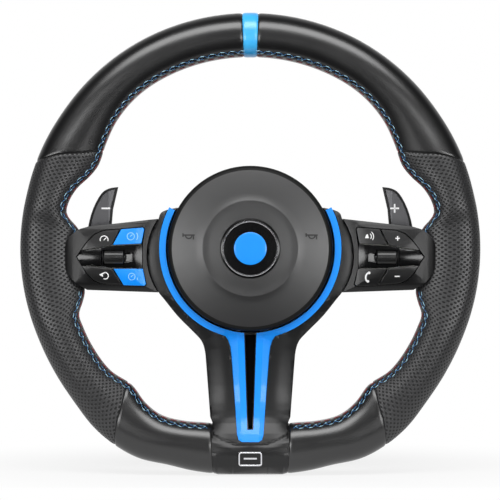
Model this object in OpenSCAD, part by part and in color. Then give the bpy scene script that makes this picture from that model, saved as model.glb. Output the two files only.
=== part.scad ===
// Flat-bottomed sports steering wheel: a cast armature, a foamed and leather-wrapped rim,
// a Y-shaped spoke cover with an inset trim, an airbag module that presses for the horn,
// two switch pods with keys and a roller each, and two shift paddles.
// The wheel stands upright and faces -Y. The origin is at the mouth of the hub bore,
// +Y points back along the steering column and +Z is up.

/* [Rim] */
// Outer radius of the rim at 3 and 9 o'clock
rim_r = 186.3; // [183:0.1:190]
// How much further out the rim lies at 12 o'clock
rim_rise = 4.5; // [2:0.5:7]
// How much further in the flat bottom lies at 6 o'clock
rim_flat = 4.3; // [2:0.1:7]
// Radial width of the rim at 12 o'clock
rim_w = 35.8; // [33:0.1:39]
// Depth of the rim from front to back
rim_d = 34; // [31:0.5:37]
// Distance from the mouth of the bore forward to the middle of the rim
rim_set = 72; // [71:0.5:73]
// How far the upper thumb rests stand in from the rim
thumb_rest = 11.5; // [6:0.5:14]
// How far the lower swells stand in from the rim
lower_rest = 10.5; // [6:0.5:13]
// How far the lower corners swell out
corner_swell = 7; // [4:0.5:9]
// Thickness of the leather
leather_t = 1.6; // [1.2:0.1:2.2]
// Depth of the groove at each leather seam
seam_dip = 0.8; // [0.3:0.1:1]
// Width of the centre band at 12 o'clock
band_w = 13; // [9:1:18]

/* [Armature] */
// Radius of the bore that takes the column shaft
bore_r = 8.5; // [7:0.1:10]
// Length of the steel hub insert
insert_len = 30; // [24:1:34]
// Outer radius of the steel hub insert
insert_r = 13; // [12:0.5:14]
// Outer radius of the cast boss round the insert
boss_r = 18; // [17:0.5:22]
// Radius of the hub plate
plate_r = 54; // [52:1:56]
// Thickness of the hub plate
plate_t = 6; // [5:0.5:7]
// Distance from the mouth of the bore forward to the hub plate's front face
plate_set = 52; // [51:0.5:53]
// How far the middle of the core ring lies in from the rim's outer edge
ring_inset = 18.3; // [17:0.1:20]
// Radial width of the core ring
ring_w = 12; // [9:0.5:14]
// Depth of the core ring
ring_d = 12; // [9:0.5:14]
// Height of the side arms
arm_h = 26; // [20:1:28]

/* [Airbag module] */
// Outer radius of the airbag cover
cover_r = 66.7; // [65:0.1:68]
// Wall of the airbag cover
cover_t = 3; // [2.5:0.1:3.5]
// How far the middle of the cover stands in front of its rim
cover_crown = 6; // [4:0.5:8]
// Distance from the mouth of the bore forward to the cover's back edge
cover_set = 64; // [63.5:0.5:65]
// Depth of the cover's side wall
cover_side = 24; // [22:0.5:26]
// Outer radius of the emblem
emblem_r = 23.8; // [20:0.1:25]
// How far the module travels when the horn is pressed
horn_travel = 1.8; // [1:0.1:2]

/* [Spoke cover] */
// Gap between the airbag cover and the spoke cover
module_gap = 1.2; // [0.8:0.1:1.5]
// Radial width of the trim ring
trim_w = 5.2; // [4:0.1:6]
// Thickness of the trim
trim_t = 3; // [2.5:0.1:3.2]
// How far the trim stands proud of the spoke cover
trim_proud = 0.4; // [0.2:0.1:0.8]
// Width of the slot at its top
slot_top_w = 10; // [8:0.5:12]
// Width of the slot at its bottom
slot_low_w = 5; // [4:0.5:6]
// Wall of the spoke cover
spoke_t = 3; // [2.5:0.1:3.5]
// Width of the plaque at 6 o'clock
plaque_w = 18.9; // [16:0.1:22]
// Height of the plaque at 6 o'clock
plaque_h = 11.6; // [9:0.1:13]

/* [Switch pods] */
// Wall of the switch housings
pod_t = 2.2; // [1.8:0.1:2.6]
// Gap round each key
key_gap = 0.3; // [0.2:0.05:0.4]
// How far the keys stand proud of the housing
key_proud = 0.5; // [0.3:0.1:1]
// Travel of a key
key_travel = 0.7; // [0.4:0.1:0.8]
// Radius of the knurled roller
roller_r = 7; // [6.4:0.1:7.2]
// Length of the knurled roller
roller_len = 16.6; // [15:0.1:16.8]
// Number of grooves round the roller
roller_grooves = 18; // [12:1:24]
// Radius of the roller's axle
axle_r = 1.5; // [1.2:0.1:2]
// Running clearance between a pin and what turns on it
run_gap = 0.05; // [0.03:0.01:0.08]

/* [Paddles] */
// Thickness of a paddle blade
paddle_t = 3.2; // [2.8:0.1:3.6]
// Thickness of the metal face on a blade
face_t = 1.2; // [0.8:0.1:1.5]
// Distance of a paddle's pin from the middle of the wheel
paddle_x = 67; // [66:0.5:69]
// Radius of a paddle's pin
paddle_pin_r = 1.6; // [1.2:0.1:2]

/* [Rear cover] */
// Wall of the rear cover
rear_t = 2.4; // [2:0.1:3]
// Radius of the opening round the column
rear_hole_r = 34; // [30:1:38]

/* [Hidden] */
$fn = 64;
RING_SIDES = 14;
RELIEF = 0.3;

rim_y = -rim_set;
part_y = -62;
plate_y = -plate_set;
plate_back_y = plate_y + plate_t;
cover_back_y = -cover_set;
cover_edge_y = cover_back_y - cover_side;
airbag_hole_r = cover_r + module_gap;
trim_in_r = airbag_hole_r + 0.4;
trim_out_r = trim_in_r + trim_w;
ring_r = rim_r - ring_inset;
ring_rise = 3;
ring_foot_z = ring_rise - ring_r;
foot_z = rim_flat - rim_r;
arm_bend_x = ring_r - 54;
roller_y = -83.4;
roller_x = 109.9;
roller_z = -7.1;
arm_z = -6;
board_y = -76;
board_t = 1.6;
mat_t = 1.9;
mat_y = board_y - board_t - mat_t;
key_back_y = mat_y - key_travel - 0.2;
pod_floor_y = -83.5;
ear_in = roller_len / 2 + 0.3;
ear_out = ear_in + 1.1;
pin_y = -36;

// Extrudes a front view, drawn as X and Z, from depth y0 back to depth y1
module front_slab(y0, y1) {
    translate([0, y1, 0]) rotate([90, 0, 0]) linear_extrude(y1 - y0) children();
}

// Extrudes a side view, drawn as Y and Z, from x0 to x1
module side_slab(x0, x1) {
    translate([x0, 0, 0]) rotate([90, 0, 90]) linear_extrude(x1 - x0) children();
}

// Extrudes a plan view, drawn as X and Y, from z0 to z1
module plan_slab(z0, z1) {
    translate([0, 0, z0]) linear_extrude(z1 - z0) children();
}

// Turns a profile, drawn as radius and Y, round the steering axis
module turned() {
    rotate([-90, 0, 0]) rotate_extrude($fn = 96) children();
}

// A cylinder along Y at a place in the front view
module rod(x, z, r, y0, y1) {
    translate([x, y1, z]) rotate([90, 0, 0]) cylinder(r = r, h = y1 - y0, $fn = 48);
}

module left_half() {
    mirror([1, 0, 0]) children();
}

// A smooth line through hand-set points, n steps to each span
function knot(p, i) =
    i < 0 ? 2 * p[0] - p[1] :
    i >= len(p) ? 2 * p[len(p) - 1] - p[len(p) - 2] : p[i];
function blend_point(a, b, c, d, t) =
    0.5 * (2 * b + (c - a) * t + (2 * a - 5 * b + 4 * c - d) * t * t
    + (3 * b - a - 3 * c + d) * t * t * t);
function curve(p, n) = concat(
    [for (i = [0:len(p) - 2]) for (j = [0:n - 1])
        blend_point(knot(p, i - 1), p[i], p[i + 1], knot(p, i + 2), j / n)],
    [p[len(p) - 1]]);
function arc(cx, cy, r, a0, a1, n) =
    [for (i = [0:n]) [cx + r * cos(a0 + (a1 - a0) * i / n), cy + r * sin(a0 + (a1 - a0) * i / n)]];
function both_sides(p) = concat(p, [for (i = [len(p) - 1:-1:0]) [-p[i][0], p[i][1]]]);

// The rim's outline: clock angle, extra radius, extra radial width, thinning of the inner side
RIM_ROWS = [
    [0, rim_rise, 0, 0],
    [25, rim_rise - 0.3, 0, 0],
    [36, rim_rise - 1, 0.05 * thumb_rest, 0.03],
    [46, 0.55 * rim_rise, 0.3 * thumb_rest, 0.12],
    [54, 0.35 * rim_rise, 0.68 * thumb_rest, 0.22],
    [61, 0.27 * rim_rise, thumb_rest, 0.3],
    [66, 0.2 * rim_rise, 0.76 * thumb_rest, 0.25],
    [71, 0.1 * rim_rise, 0.2 * thumb_rest, 0.1],
    [76, 0, -1.4, 0],
    [79.5, 0, -0.4, 0.04],
    [84, 0, 11, 0.38],
    [94, 0, 12, 0.42],
    [104, 0, 12.4, 0.38],
    [107.4, 0, 8.6, 0.24],
    [111, 0, 2, 0.05],
    [115, 0.2, 1.2, 0],
    [122, 1, 1.2, 0],
    [131, 0.4 * corner_swell, 0.3 * lower_rest, 0.05],
    [139, 0.88 * corner_swell, lower_rest, 0.2],
    [146, corner_swell, 0.62 * lower_rest, 0.12],
    [152, 0.84 * corner_swell, 0.36 * lower_rest, 0.04],
    [159, 0.16 * corner_swell, 0.22 * lower_rest, 0],
    [165, -0.1 * rim_flat, 4.4, 0],
    [171, -0.45 * rim_flat, 4.6, 0],
    [180, -rim_flat, 4.2, 0]
];
function row_before(a, i = 0) =
    i >= len(RIM_ROWS) - 2 || a < RIM_ROWS[i + 1][0] ? i : row_before(a, i + 1);
function row_slope(i, k) =
    i == 0 || i == len(RIM_ROWS) - 1 ? 0 :
    (RIM_ROWS[i + 1][k] - RIM_ROWS[i - 1][k]) / (RIM_ROWS[i + 1][0] - RIM_ROWS[i - 1][0]);
function row_value(a, k) =
    let (i = row_before(a))
    let (h = RIM_ROWS[i + 1][0] - RIM_ROWS[i][0])
    let (t = (a - RIM_ROWS[i][0]) / h)
    (2 * t * t * t - 3 * t * t + 1) * RIM_ROWS[i][k]
    + (t * t * t - 2 * t * t + t) * h * row_slope(i, k)
    + (3 * t * t - 2 * t * t * t) * RIM_ROWS[i + 1][k]
    + (t * t * t - t * t) * h * row_slope(i + 1, k);

// A point of the rim's surface at a clock angle, turn of the section and growth of the section
function rounded(v) = sign(v) * pow(abs(v), 0.88);
function rim_point(angle, turn, grow) =
    let (a = abs(angle) > 180 ? 360 - abs(angle) : abs(angle))
    let (w = rim_w + row_value(a, 2))
    let (r = rim_r + row_value(a, 1) - w / 2 + (w / 2 + grow - leather_t) * rounded(cos(turn)))
    let (thin = 1 - row_value(a, 3) * (1 - cos(turn)) / 2)
    [
        r * sin(angle),
        rim_y - (rim_d / 2 + grow - leather_t) * thin * rounded(sin(turn)),
        r * cos(angle)
    ];

// Stations along the rim: clock angle, skew of the section's plane, 1 where a seam dips
band_a = asin(band_w / 2 / (rim_r + rim_rise));
seam_a = 62.2;
seam_skew = 5.7;
low_seam_a = 141.5;
low_seam_skew = 3.9;
cap_seam_a = 169.1;
cap_seam_skew = 1.6;
tuck_a = 1.2;
BAND_STATIONS = [
    [-band_a, 0, 1], [-band_a + tuck_a, 0, 0], [band_a - tuck_a, 0, 0], [band_a, 0, 1]
];
TOP_STATIONS = [
    [band_a, 0, 1], [band_a + tuck_a, 0, 0], [10, 0, 0], [17, 0, 0], [24, 0, 0], [31, 0, 0],
    [37.5, 0, 0], [44, 0.1 * seam_skew, 0], [50, 0.4 * seam_skew, 0], [56, 0.8 * seam_skew, 0],
    [seam_a - tuck_a, seam_skew, 0], [seam_a, seam_skew, 1]
];
GRIP_STATIONS = [
    [seam_a, seam_skew, 1], [seam_a + tuck_a, seam_skew, 0], [67, 0.75 * seam_skew, 0],
    [71, 0.4 * seam_skew, 0], [75, 0.1 * seam_skew, 0], [78.5, 0, 0], [81, 0, 0], [83, 0, 0],
    [86.5, 0, 0], [94, 0, 0], [101.5, 0, 0], [105.5, 0, 0], [108.5, 0, 0], [112, 0, 0],
    [118, 0, 0], [125, 0, 0], [131.5, 0.3 * low_seam_skew, 0],
    [136.5, 0.8 * low_seam_skew, 0], [low_seam_a - tuck_a, low_seam_skew, 0],
    [low_seam_a, low_seam_skew, 1]
];
BOTTOM_STATIONS = [
    [low_seam_a, low_seam_skew, 1], [low_seam_a + tuck_a, low_seam_skew, 0],
    [147.5, 0.6 * low_seam_skew, 0], [152.5, 0.3 * low_seam_skew, 0], [157.5, 0, 0],
    [162.5, 0.5 * cap_seam_skew, 0], [cap_seam_a - tuck_a, cap_seam_skew, 0],
    [cap_seam_a, cap_seam_skew, 1]
];
CAP_STATIONS = [
    [cap_seam_a, cap_seam_skew, 1], [cap_seam_a + tuck_a, cap_seam_skew, 0], [175, 0.5, 0],
    [185, -0.5, 0], [360 - cap_seam_a - tuck_a, -cap_seam_skew, 0],
    [360 - cap_seam_a, -cap_seam_skew, 1]
];
function without_last(p) = [for (i = [0:len(p) - 2]) p[i]];
function far_side(p) = [for (i = [len(p) - 1:-1:0]) [360 - p[i][0], -p[i][1], p[i][2]]];
RING_STATIONS = concat(
    without_last(BAND_STATIONS), without_last(TOP_STATIONS), without_last(GRIP_STATIONS),
    without_last(BOTTOM_STATIONS), without_last(CAP_STATIONS),
    without_last(far_side(BOTTOM_STATIONS)), without_last(far_side(GRIP_STATIONS)),
    without_last(far_side(TOP_STATIONS)));

function section(s, grow, dip) =
    [for (k = [0:RING_SIDES - 1])
        let (turn = 360 * k / RING_SIDES)
        rim_point(s[0] + s[1] * cos(turn), turn, grow - dip * s[2])];
function tube_points(stations, grow, dip) = [for (s = stations) for (p = section(s, grow, dip)) p];
function tube_faces(count, closed, base, inward, mirrored_from = 1000) =
    [for (i = [0:count - (closed ? 1 : 2)]) for (k = [0:RING_SIDES - 1]) for (half = [0, 1])
        let (m = (k + 1) % RING_SIDES)
        let (j = (i + 1) % count)
        let (a = base + i * RING_SIDES + k)
        let (b = base + i * RING_SIDES + m)
        let (c = base + j * RING_SIDES + m)
        let (d = base + j * RING_SIDES + k)
        i >= mirrored_from ? (half == 0 ? [a, d, b] : [d, c, b]) :
        inward ? (half == 0 ? [a, b, c] : [a, c, d]) : (half == 0 ? [a, d, c] : [a, c, b])];

// A closed ring all round the rim, its left half the mirror image of its right half
module rim_ring(grow) {
    n = len(RING_STATIONS);
    left_from = len(BAND_STATIONS) + len(TOP_STATIONS) + len(GRIP_STATIONS)
        + len(BOTTOM_STATIONS) + len(CAP_STATIONS) - 5;
    polyhedron(tube_points(RING_STATIONS, grow, 0), tube_faces(n, true, 0, false, left_from));
}

// A solid stretch of the rim with flat ends
module rim_stretch(stations, grow) {
    n = len(stations);
    first = [for (k = [0:RING_SIDES - 1]) k];
    last = [for (k = [RING_SIDES - 1:-1:0]) (n - 1) * RING_SIDES + k];
    polyhedron(
        tube_points(stations, grow, 0),
        concat(tube_faces(n, false, 0, false), [first, last]));
}

// A skin over the foam along a stretch of the rim, its ends tucked down at the seams
module rim_skin(stations, thickness) {
    n = len(stations);
    inner = n * RING_SIDES;
    ends = [for (e = [0, 1]) for (k = [0:RING_SIDES - 1]) for (half = [0, 1])
        let (m = (k + 1) % RING_SIDES)
        let (o = e * (n - 1) * RING_SIDES)
        let (a = o + k)
        let (b = o + m)
        let (c = inner + o + m)
        let (d = inner + o + k)
        e == 0
            ? (half == 0 ? [a, b, c] : [a, c, d])
            : (half == 0 ? [a, c, b] : [a, d, c])];
    polyhedron(
        concat(tube_points(stations, thickness, seam_dip), tube_points(stations, 0, 0)),
        concat(tube_faces(n, false, 0, false), tube_faces(n, false, inner, true), ends));
}

// The space that the rim and its leather take up near a pod
POD_SPAN = [for (s = GRIP_STATIONS) if (s[0] > 70 && s[0] < 120) s];
module rim_keep_out() {
    rim_stretch(POD_SPAN, leather_t + RELIEF);
}

// The passage of a side arm through the rim's inner wall
module arm_passage(gap) {
    translate([arm_bend_x + 4, rim_y - 4 - gap, arm_z - arm_h / 2 - gap])
        cube([34, 14 + 2 * gap, arm_h + 2 * gap]);
}

// Armature: side arms, lower legs and the ring, round the hub plate with its boss
ARM_FRONT = [
    [plate_r - 12, plate_y], [plate_r + 22, plate_y], [arm_bend_x, rim_y - 3], [ring_r - 2, rim_y - 3]
];
ARM_BACK = [
    [ring_r - 2, rim_y + 1.5], [arm_bend_x + 2, rim_y + 1.5], [plate_r + 26, plate_back_y - 1],
    [plate_r - 12, plate_back_y - 1]
];
ARM_RIB_BACK = [
    [ring_r - 6, rim_y + 9], [arm_bend_x + 4, rim_y + 9], [plate_r + 32, plate_back_y - 2],
    [plate_r - 12, plate_back_y - 1]
];
module side_arm() {
    plan_slab(arm_z - arm_h / 2, arm_z + arm_h / 2) polygon(concat(ARM_FRONT, ARM_BACK));
    for (z = [arm_z - arm_h / 2, arm_z + arm_h / 2 - 4])
        plan_slab(z, z + 4) polygon(concat(ARM_FRONT, ARM_RIB_BACK));
}
LEG_FRONT = [
    [plate_y, 18 - plate_r], [plate_y, -2 - plate_r], [rim_y - 1, -44 - plate_r],
    [rim_y - 1, ring_foot_z + 2]
];
LEG_BACK = [
    [rim_y + 6, ring_foot_z + 2], [rim_y + 6, -46 - plate_r], [plate_back_y, -8 - plate_r],
    [plate_back_y, 18 - plate_r]
];
module lower_leg() {
    intersection() {
        front_slab(rim_y - 10, plate_back_y + 1) polygon([
            [8, -34], [28, -34], [19.5, -90], [16, ring_foot_z + 1], [7, ring_foot_z + 1], [8, -100]]);
        side_slab(0, 60) polygon(concat(LEG_FRONT, LEG_BACK));
    }
}
module core_ring(hollow) {
    translate([0, rim_y, ring_rise]) turned() difference() {
        translate([ring_r - ring_w / 2, -ring_d / 2]) square([ring_w, ring_d]);
        if (hollow)
            translate([ring_r - ring_w / 2 + 3.5, -ring_d / 2 + 4]) square([ring_w - 7, ring_d]);
    }
}
PIN_ANGLES = [90, 210, 330];
guide_pcr = 47;
SCREW_ANGLES = [35, 145, 270];
screw_pcr = 42;
module armature() {
    color("silver") difference() {
        union() {
            core_ring(true);
            side_arm();
            left_half() side_arm();
            lower_leg();
            left_half() lower_leg();
        }
        turned() translate([0, plate_y - 1]) square([plate_r, plate_t + 2]);
    }
}
module hub_plate() {
    color("silver") difference() {
        union() {
            turned() polygon([
                [0, plate_y], [plate_r, plate_y], [plate_r, plate_back_y],
                [boss_r + 6, plate_back_y], [boss_r, plate_back_y + 6], [boss_r, 0], [0, 0]
            ]);
            for (a = [0:60:300]) rotate([0, a, 0])
                translate([boss_r - 2, plate_back_y - 1, -2]) cube([plate_r - boss_r - 6, 5, 4]);
        }
        rod(0, 0, insert_r, -insert_len, 1);
        rod(0, 0, insert_r - 1.5, plate_y - 1, 0);
        for (a = PIN_ANGLES)
            rod(guide_pcr * cos(a), guide_pcr * sin(a), 3.4, plate_y - 1, plate_back_y + 6);
        for (a = SCREW_ANGLES)
            rod(screw_pcr * cos(a), screw_pcr * sin(a), 1.75, plate_y - 1, plate_back_y + 6);
    }
}
module hub_insert() {
    color("gray") difference() {
        rod(0, 0, insert_r, -insert_len, 0);
        rod(0, 0, bore_r, -insert_len - 1, 1);
    }
}

// Rim: foam, leather panels and the centre band
module rim_foam() {
    color("dimgray") difference() {
        rim_ring(0);
        core_ring(false);
        side_arm();
        left_half() side_arm();
        lower_leg();
        left_half() lower_leg();
    }
}
module top_cover() {
    color("#2b2b2d") rim_skin(TOP_STATIONS, leather_t);
}
module grip() {
    color("#1d1d1f") difference() {
        rim_skin(GRIP_STATIONS, leather_t);
        arm_passage(RELIEF);
    }
}
module bottom_cover() {
    color("#2b2b2d") rim_skin(BOTTOM_STATIONS, leather_t);
}
module centre_band() {
    color("#1e90ff") rim_skin(BAND_STATIONS, leather_t + 0.2);
}

// Spoke cover: front outline of one side, from the horn's tip down to the rim
HORN_EDGE = curve([
    [58, 33.2], [66, 31.6], [72.2, 28.8], [74.3, 23.4]
], 3);
POD_ARC_C = [30.5, -5.5];
pod_arc_r = 52.6;
POD_ARC = arc(POD_ARC_C[0], POD_ARC_C[1], pod_arc_r, 26, -32, 8);
LEG_EDGE = curve([
    [73.4, -36.4], [69, -41.7], [58.6, -54.7], [45.8, -67.6], [39.4, -74.8], [36.7, -83],
    [35.7, -93]
], 3);
LEG_FOOT = [[32.4, foot_z + 46], [30.6, foot_z + 41.6], [30, foot_z + 32], [29.4, foot_z + 18]];
SPOKE_OUTLINE = both_sides(concat(HORN_EDGE, POD_ARC, LEG_EDGE, LEG_FOOT));

// Front surface of the spoke cover, drawn as Y and Z
SPOKE_PROFILE = curve([
    [-77, 40], [-79.6, 22], [-80.6, 0], [-80.6, -40], [-80, -70], [-78.6, -95], [-78.8, foot_z + 64],
    [-82, foot_z + 46], [-87.4, foot_z + 33], [-90.8, foot_z + 22], [-91.2, foot_z + 16]
], 3);
function shifted(p, d) = [for (q = p) [q[0] + d, q[1]]];
module spoke_section(front_shift, back_y) {
    p = shifted(SPOKE_PROFILE, front_shift);
    side_slab(-100, 100) polygon(concat(p, [[back_y, p[len(p) - 1][1]], [back_y, p[0][1]]]));
}
module spoke_block(inset, front_shift, back_y) {
    intersection() {
        front_slab(-110, back_y) offset(delta = -inset) polygon(SPOKE_OUTLINE);
        spoke_section(front_shift, back_y);
    }
}

TRIM_LEG = [
    [20.4, -70.4], [17.9, -74], [16.2, -79], [15.2, -87], [10.6, foot_z + 32], [9.4, foot_z + 28],
    [6.6, foot_z + 26.4]
];
trim_top_a = 27;
module trim_block(grow) {
    difference() {
        rod(0, 0, trim_out_r + grow, -110, -60);
        front_slab(-111, -59) polygon([
            [0, 2 * grow], [100 * cos(trim_top_a), 100 * sin(trim_top_a) + 2 * grow],
            [100, 100], [-100, 100],
            [-100 * cos(trim_top_a), 100 * sin(trim_top_a) + 2 * grow]]);
    }
    front_slab(-110, -60) offset(delta = grow) polygon(both_sides(TRIM_LEG));
}
module slot_cut(inset) {
    front_slab(-100, -70.4) polygon(both_sides([
        [slot_top_w / 2 - inset, -50], [slot_top_w / 2 - inset, -68],
        [slot_low_w / 2 - inset, foot_z + 36]]));
}
module cap_half(front) {
    intersection() {
        rim_skin(CAP_STATIONS, leather_t + 0.6);
        translate([-60, front ? -120 : part_y, foot_z - 38])
            cube([120, front ? 120 + part_y : 60, 100]);
    }
}
module plaque_place() {
    translate([0, -90.4, foot_z + 12.8]) rotate([10, 0, 0]) children();
}
module rounded_plate(w, h, r, y0, y1) {
    front_slab(y0, y1) polygon([for (c = [[1, 1, 0], [-1, 1, 90], [-1, -1, 180], [1, -1, 270]])
        for (i = [0:4])
            [c[0] * (w / 2 - r) + r * cos(c[2] + 22.5 * i), c[1] * (h / 2 - r) + r * sin(c[2] + 22.5 * i)]]);
}
module leg_passage() {
    for (s = [-1, 1])
        front_slab(rim_y - 1 - RELIEF, part_y + 1) polygon([
            [6.4 * s, foot_z + 50], [19 * s, foot_z + 50], [18 * s, foot_z + 26], [6.4 * s, foot_z + 26]]);
}
SPOKE_BOSSES = [[26.4, -92], [24.4, foot_z + 54]];
module spoke_cover() {
    color("#333335") difference() {
        union() {
            difference() {
                spoke_block(0, 0, part_y);
                spoke_block(spoke_t, spoke_t + trim_t - trim_proud - 0.6, part_y + 1);
                rim_stretch(CAP_STATIONS, 0.2);
            }
            cap_half(true);
            intersection() {
                turned() translate([airbag_hole_r - 0.5, -78]) square([2.6, 78 + part_y]);
                front_slab(-80, part_y) polygon(SPOKE_OUTLINE);
            }
            for (b = SPOKE_BOSSES, s = [-1, 1])
                rod(s * b[0], b[1], 3.6, -76, part_y);
        }
        rod(0, 0, airbag_hole_r, -120, part_y + 1);
        leg_passage();
        intersection() {
            trim_block(RELIEF / 2);
            difference() {
                spoke_section(-5, -60);
                spoke_section(trim_t - trim_proud, -50);
            }
        }
        slot_cut(0.8);
        for (b = SPOKE_BOSSES, s = [-1, 1])
            rod(s * b[0], b[1], 1.4, -73, part_y + 1);
        plaque_place() rounded_plate(plaque_w + 0.3, plaque_h + 0.3, 2.2, -3, 0.8);
    }
}
module spoke_trim() {
    color("#1e90ff") intersection() {
        difference() {
            trim_block(0);
            rod(0, 0, trim_in_r, -111, -59);
            slot_cut(0);
        }
        difference() {
            spoke_section(-trim_proud, -60);
            spoke_section(trim_t - trim_proud, -50);
        }
    }
}
module slot_backing() {
    color("#0a0a0b") intersection() {
        front_slab(-110, -60) polygon([[-7.5, -66], [7.5, -66], [5, foot_z + 33], [-5, foot_z + 33]]);
        difference() {
            spoke_section(spoke_t + trim_t - trim_proud - 0.6, -60);
            spoke_section(spoke_t + trim_t - trim_proud + 0.9, -50);
        }
        difference() {
            translate([-20, -110, foot_z + 22]) cube([40, 60, -foot_z - 72]);
            rod(0, 0, airbag_hole_r + 3, -120, -50);
            rim_stretch(CAP_STATIONS, leather_t + 0.7);
        }
    }
}
module plaque_frame() {
    color("#c8c8cc") plaque_place() difference() {
        rounded_plate(plaque_w, plaque_h, 2, -0.6, 0.8);
        rounded_plate(plaque_w - 2.2, plaque_h - 2.2, 1.4, -2, 2);
    }
}
module plaque_plate() {
    color("#111112") plaque_place() rounded_plate(plaque_w - 2.2, plaque_h - 2.2, 1.4, -0.3, 0.8);
}

// Switch pods: front outline of the right-hand one
POD_INNER = arc(POD_ARC_C[0], POD_ARC_C[1], pod_arc_r + 0.6, -34.2, 33.6, 8);
POD_OUTER = curve([
    [131, 17.6], [139.5, 14.6], [146.8, 7.6], [150.9, -4.5], [148.6, -17], [141.5, -27], [131.5, -33.4]
], 3);
POD_OUTLINE = concat(POD_INNER, POD_OUTER);
// Front surface seen from above, as X and Y, and seen from the side, as Y and Z
POD_PLAN = curve([
    [70, -80.5], [78, -83.4], [92, -87], [108, -88.6], [124, -88.8], [138, -87.4], [147, -84], [154, -79]
], 2);
POD_SIDE = curve([
    [-79, 28], [-84.6, 22], [-87.8, 12], [-89, -6], [-87.8, -22], [-84.4, -32], [-79, -38.5]
], 3);
module pod_front(shift, back_y) {
    intersection() {
        plan_slab(-60, 60) polygon(concat(
            [for (p = POD_PLAN) [p[0], p[1] + shift]], [[154, back_y], [70, back_y]]));
        side_slab(60, 160) polygon(concat(shifted(POD_SIDE, shift), [[back_y, -38.5], [back_y, 28]]));
    }
}
UPPER_OUTER = [[136.4, -1.6], [111.6, 2.6], [105.2, 15.3], [118, 14.4], [125, 11.4], [131.6, 4.8]];
UPPER_INNER = [[110.8, 2.8], [87.6, 3.9], [85.2, 15.6], [86.4, 17], [104, 15.6]];
LOWER_INNER = [[110.2, -16.2], [86.4, -16.2], [83.9, -28.8], [85.2, -30.2], [102, -29.8]];
LOWER_OUTER = [[136.2, -13.6], [111, -16.2], [103, -29.3], [120.5, -27.9], [126, -25.6], [131.6, -20]];
POINT_KEY = [[139.4, -6.6], [136.4, -2.2], [119.9, 0.4], [119.9, -14.6], [136.4, -13]];
BEZEL = [[119.4, 0.5], [111.2, 2], [87.2, 3.2], [87.2, -15.6], [110.6, -15.6], [119.4, -14.6]];
CLUSTER = [
    [140.4, -6.6], [132.2, 5], [125.4, 12], [118.2, 15], [104, 16.3], [86, 17.6], [84.6, 15.8],
    [86.6, 3], [86.6, -15.6], [83.2, -28.8], [84.8, -30.8], [102, -30.5], [120.8, -28.6],
    [126.4, -26.2], [132.2, -20.2]
];
BOARD = [
    [88, 14], [122, 12.4], [132, 3], [134, -7], [131, -20], [122, -27], [88, -29.5]
];
roller_win = [[roller_x - ear_in, -13.1], [roller_x + ear_in, -1.1]];
module roller_window(grow) {
    translate(roller_win[0] - [grow, grow])
        square(roller_win[1] - roller_win[0] + 2 * [grow, grow]);
}
module switch_housing() {
    color("#2a2a2c") difference() {
        union() {
            difference() {
                intersection() {
                    front_slab(-110, part_y) polygon(POD_OUTLINE);
                    pod_front(0, part_y);
                }
                intersection() {
                    front_slab(pod_floor_y, part_y + 1) offset(delta = -pod_t) polygon(POD_OUTLINE);
                    pod_front(pod_t, part_y + 1);
                }
            }
            intersection() {
                front_slab(board_y, board_y + 3) difference() {
                    polygon(POD_OUTLINE);
                    polygon([[86, 11], [122, 9.8], [130, 2], [131, -16], [121, -25], [86, -26.6]]);
                }
                pod_front(1, part_y);
            }
        }
        front_slab(-100, -81) polygon(CLUSTER);
        plan_slab(arm_z - arm_h / 2 - 0.5, arm_z + arm_h / 2 + 0.5)
            polygon([[60, -56], [160, -56], [160, rim_y - 3.4], [arm_bend_x, rim_y - 3.4]]);
        rim_keep_out();
    }
}
module key(outline) {
    intersection() {
        front_slab(-100, key_back_y) offset(delta = -key_gap / 2) polygon(outline);
        pod_front(-key_proud, -60);
    }
}
module point_key() {
    color("#0c0c0e") key(POINT_KEY);
}
module roller_bezel() {
    color("#0c0c0e") difference() {
        union() {
            intersection() {
                front_slab(-100, pod_floor_y + 0.6) polygon(BEZEL);
                pod_front(-0.2, -60);
            }
            for (x = [roller_x - ear_out, roller_x + ear_in])
                translate([x, roller_y - 3, roller_z - 4]) cube([ear_out - ear_in, 6.6, 8]);
            translate([88, pod_floor_y, -13]) cube([3, mat_y - pod_floor_y, 12]);
        }
        front_slab(-100, -60) roller_window(0);
        plan_slab(-10.6, -3.6) polygon([[101.4, -92], [101.4, -85.8], [89, -89.2], [89, -92]]);
        translate([roller_x - ear_in, roller_y, roller_z]) rotate([0, 90, 0])
            cylinder(r = roller_r + RELIEF, h = 2 * ear_in, $fn = 64);
        translate([roller_x - 12, roller_y, roller_z]) rotate([0, 90, 0])
            cylinder(r = axle_r, h = 24, $fn = 32);
    }
}
module roller() {
    color("#3a3a3d") translate([roller_x, roller_y, roller_z]) rotate([0, 90, 0]) difference() {
        rotate_extrude($fn = 64) polygon([
            [axle_r + run_gap, -roller_len / 2], [roller_r - 1, -roller_len / 2],
            [roller_r, -roller_len / 2 + 1], [roller_r, roller_len / 2 - 1],
            [roller_r - 1, roller_len / 2], [axle_r + run_gap, roller_len / 2]
        ]);
        for (i = [0:roller_grooves - 1]) rotate([0, 0, 360 * i / roller_grooves])
            translate([roller_r - 0.5, -0.5, -roller_len / 2 + 1.6]) cube([2, 1, roller_len - 3.2]);
    }
}
module roller_axle() {
    color("gray") translate([roller_x - ear_out, roller_y, roller_z]) rotate([0, 90, 0])
        cylinder(r = axle_r, h = 2 * ear_out, $fn = 32);
}
module key_mat() {
    color("#8f8f8a") front_slab(board_y - board_t - mat_t, board_y - board_t) difference() {
        polygon(BOARD);
        roller_window(2.4);
    }
}
module switch_board() {
    color("#1f5c38") front_slab(board_y - board_t, board_y) difference() {
        polygon(BOARD);
        roller_window(2.4);
    }
}

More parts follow.
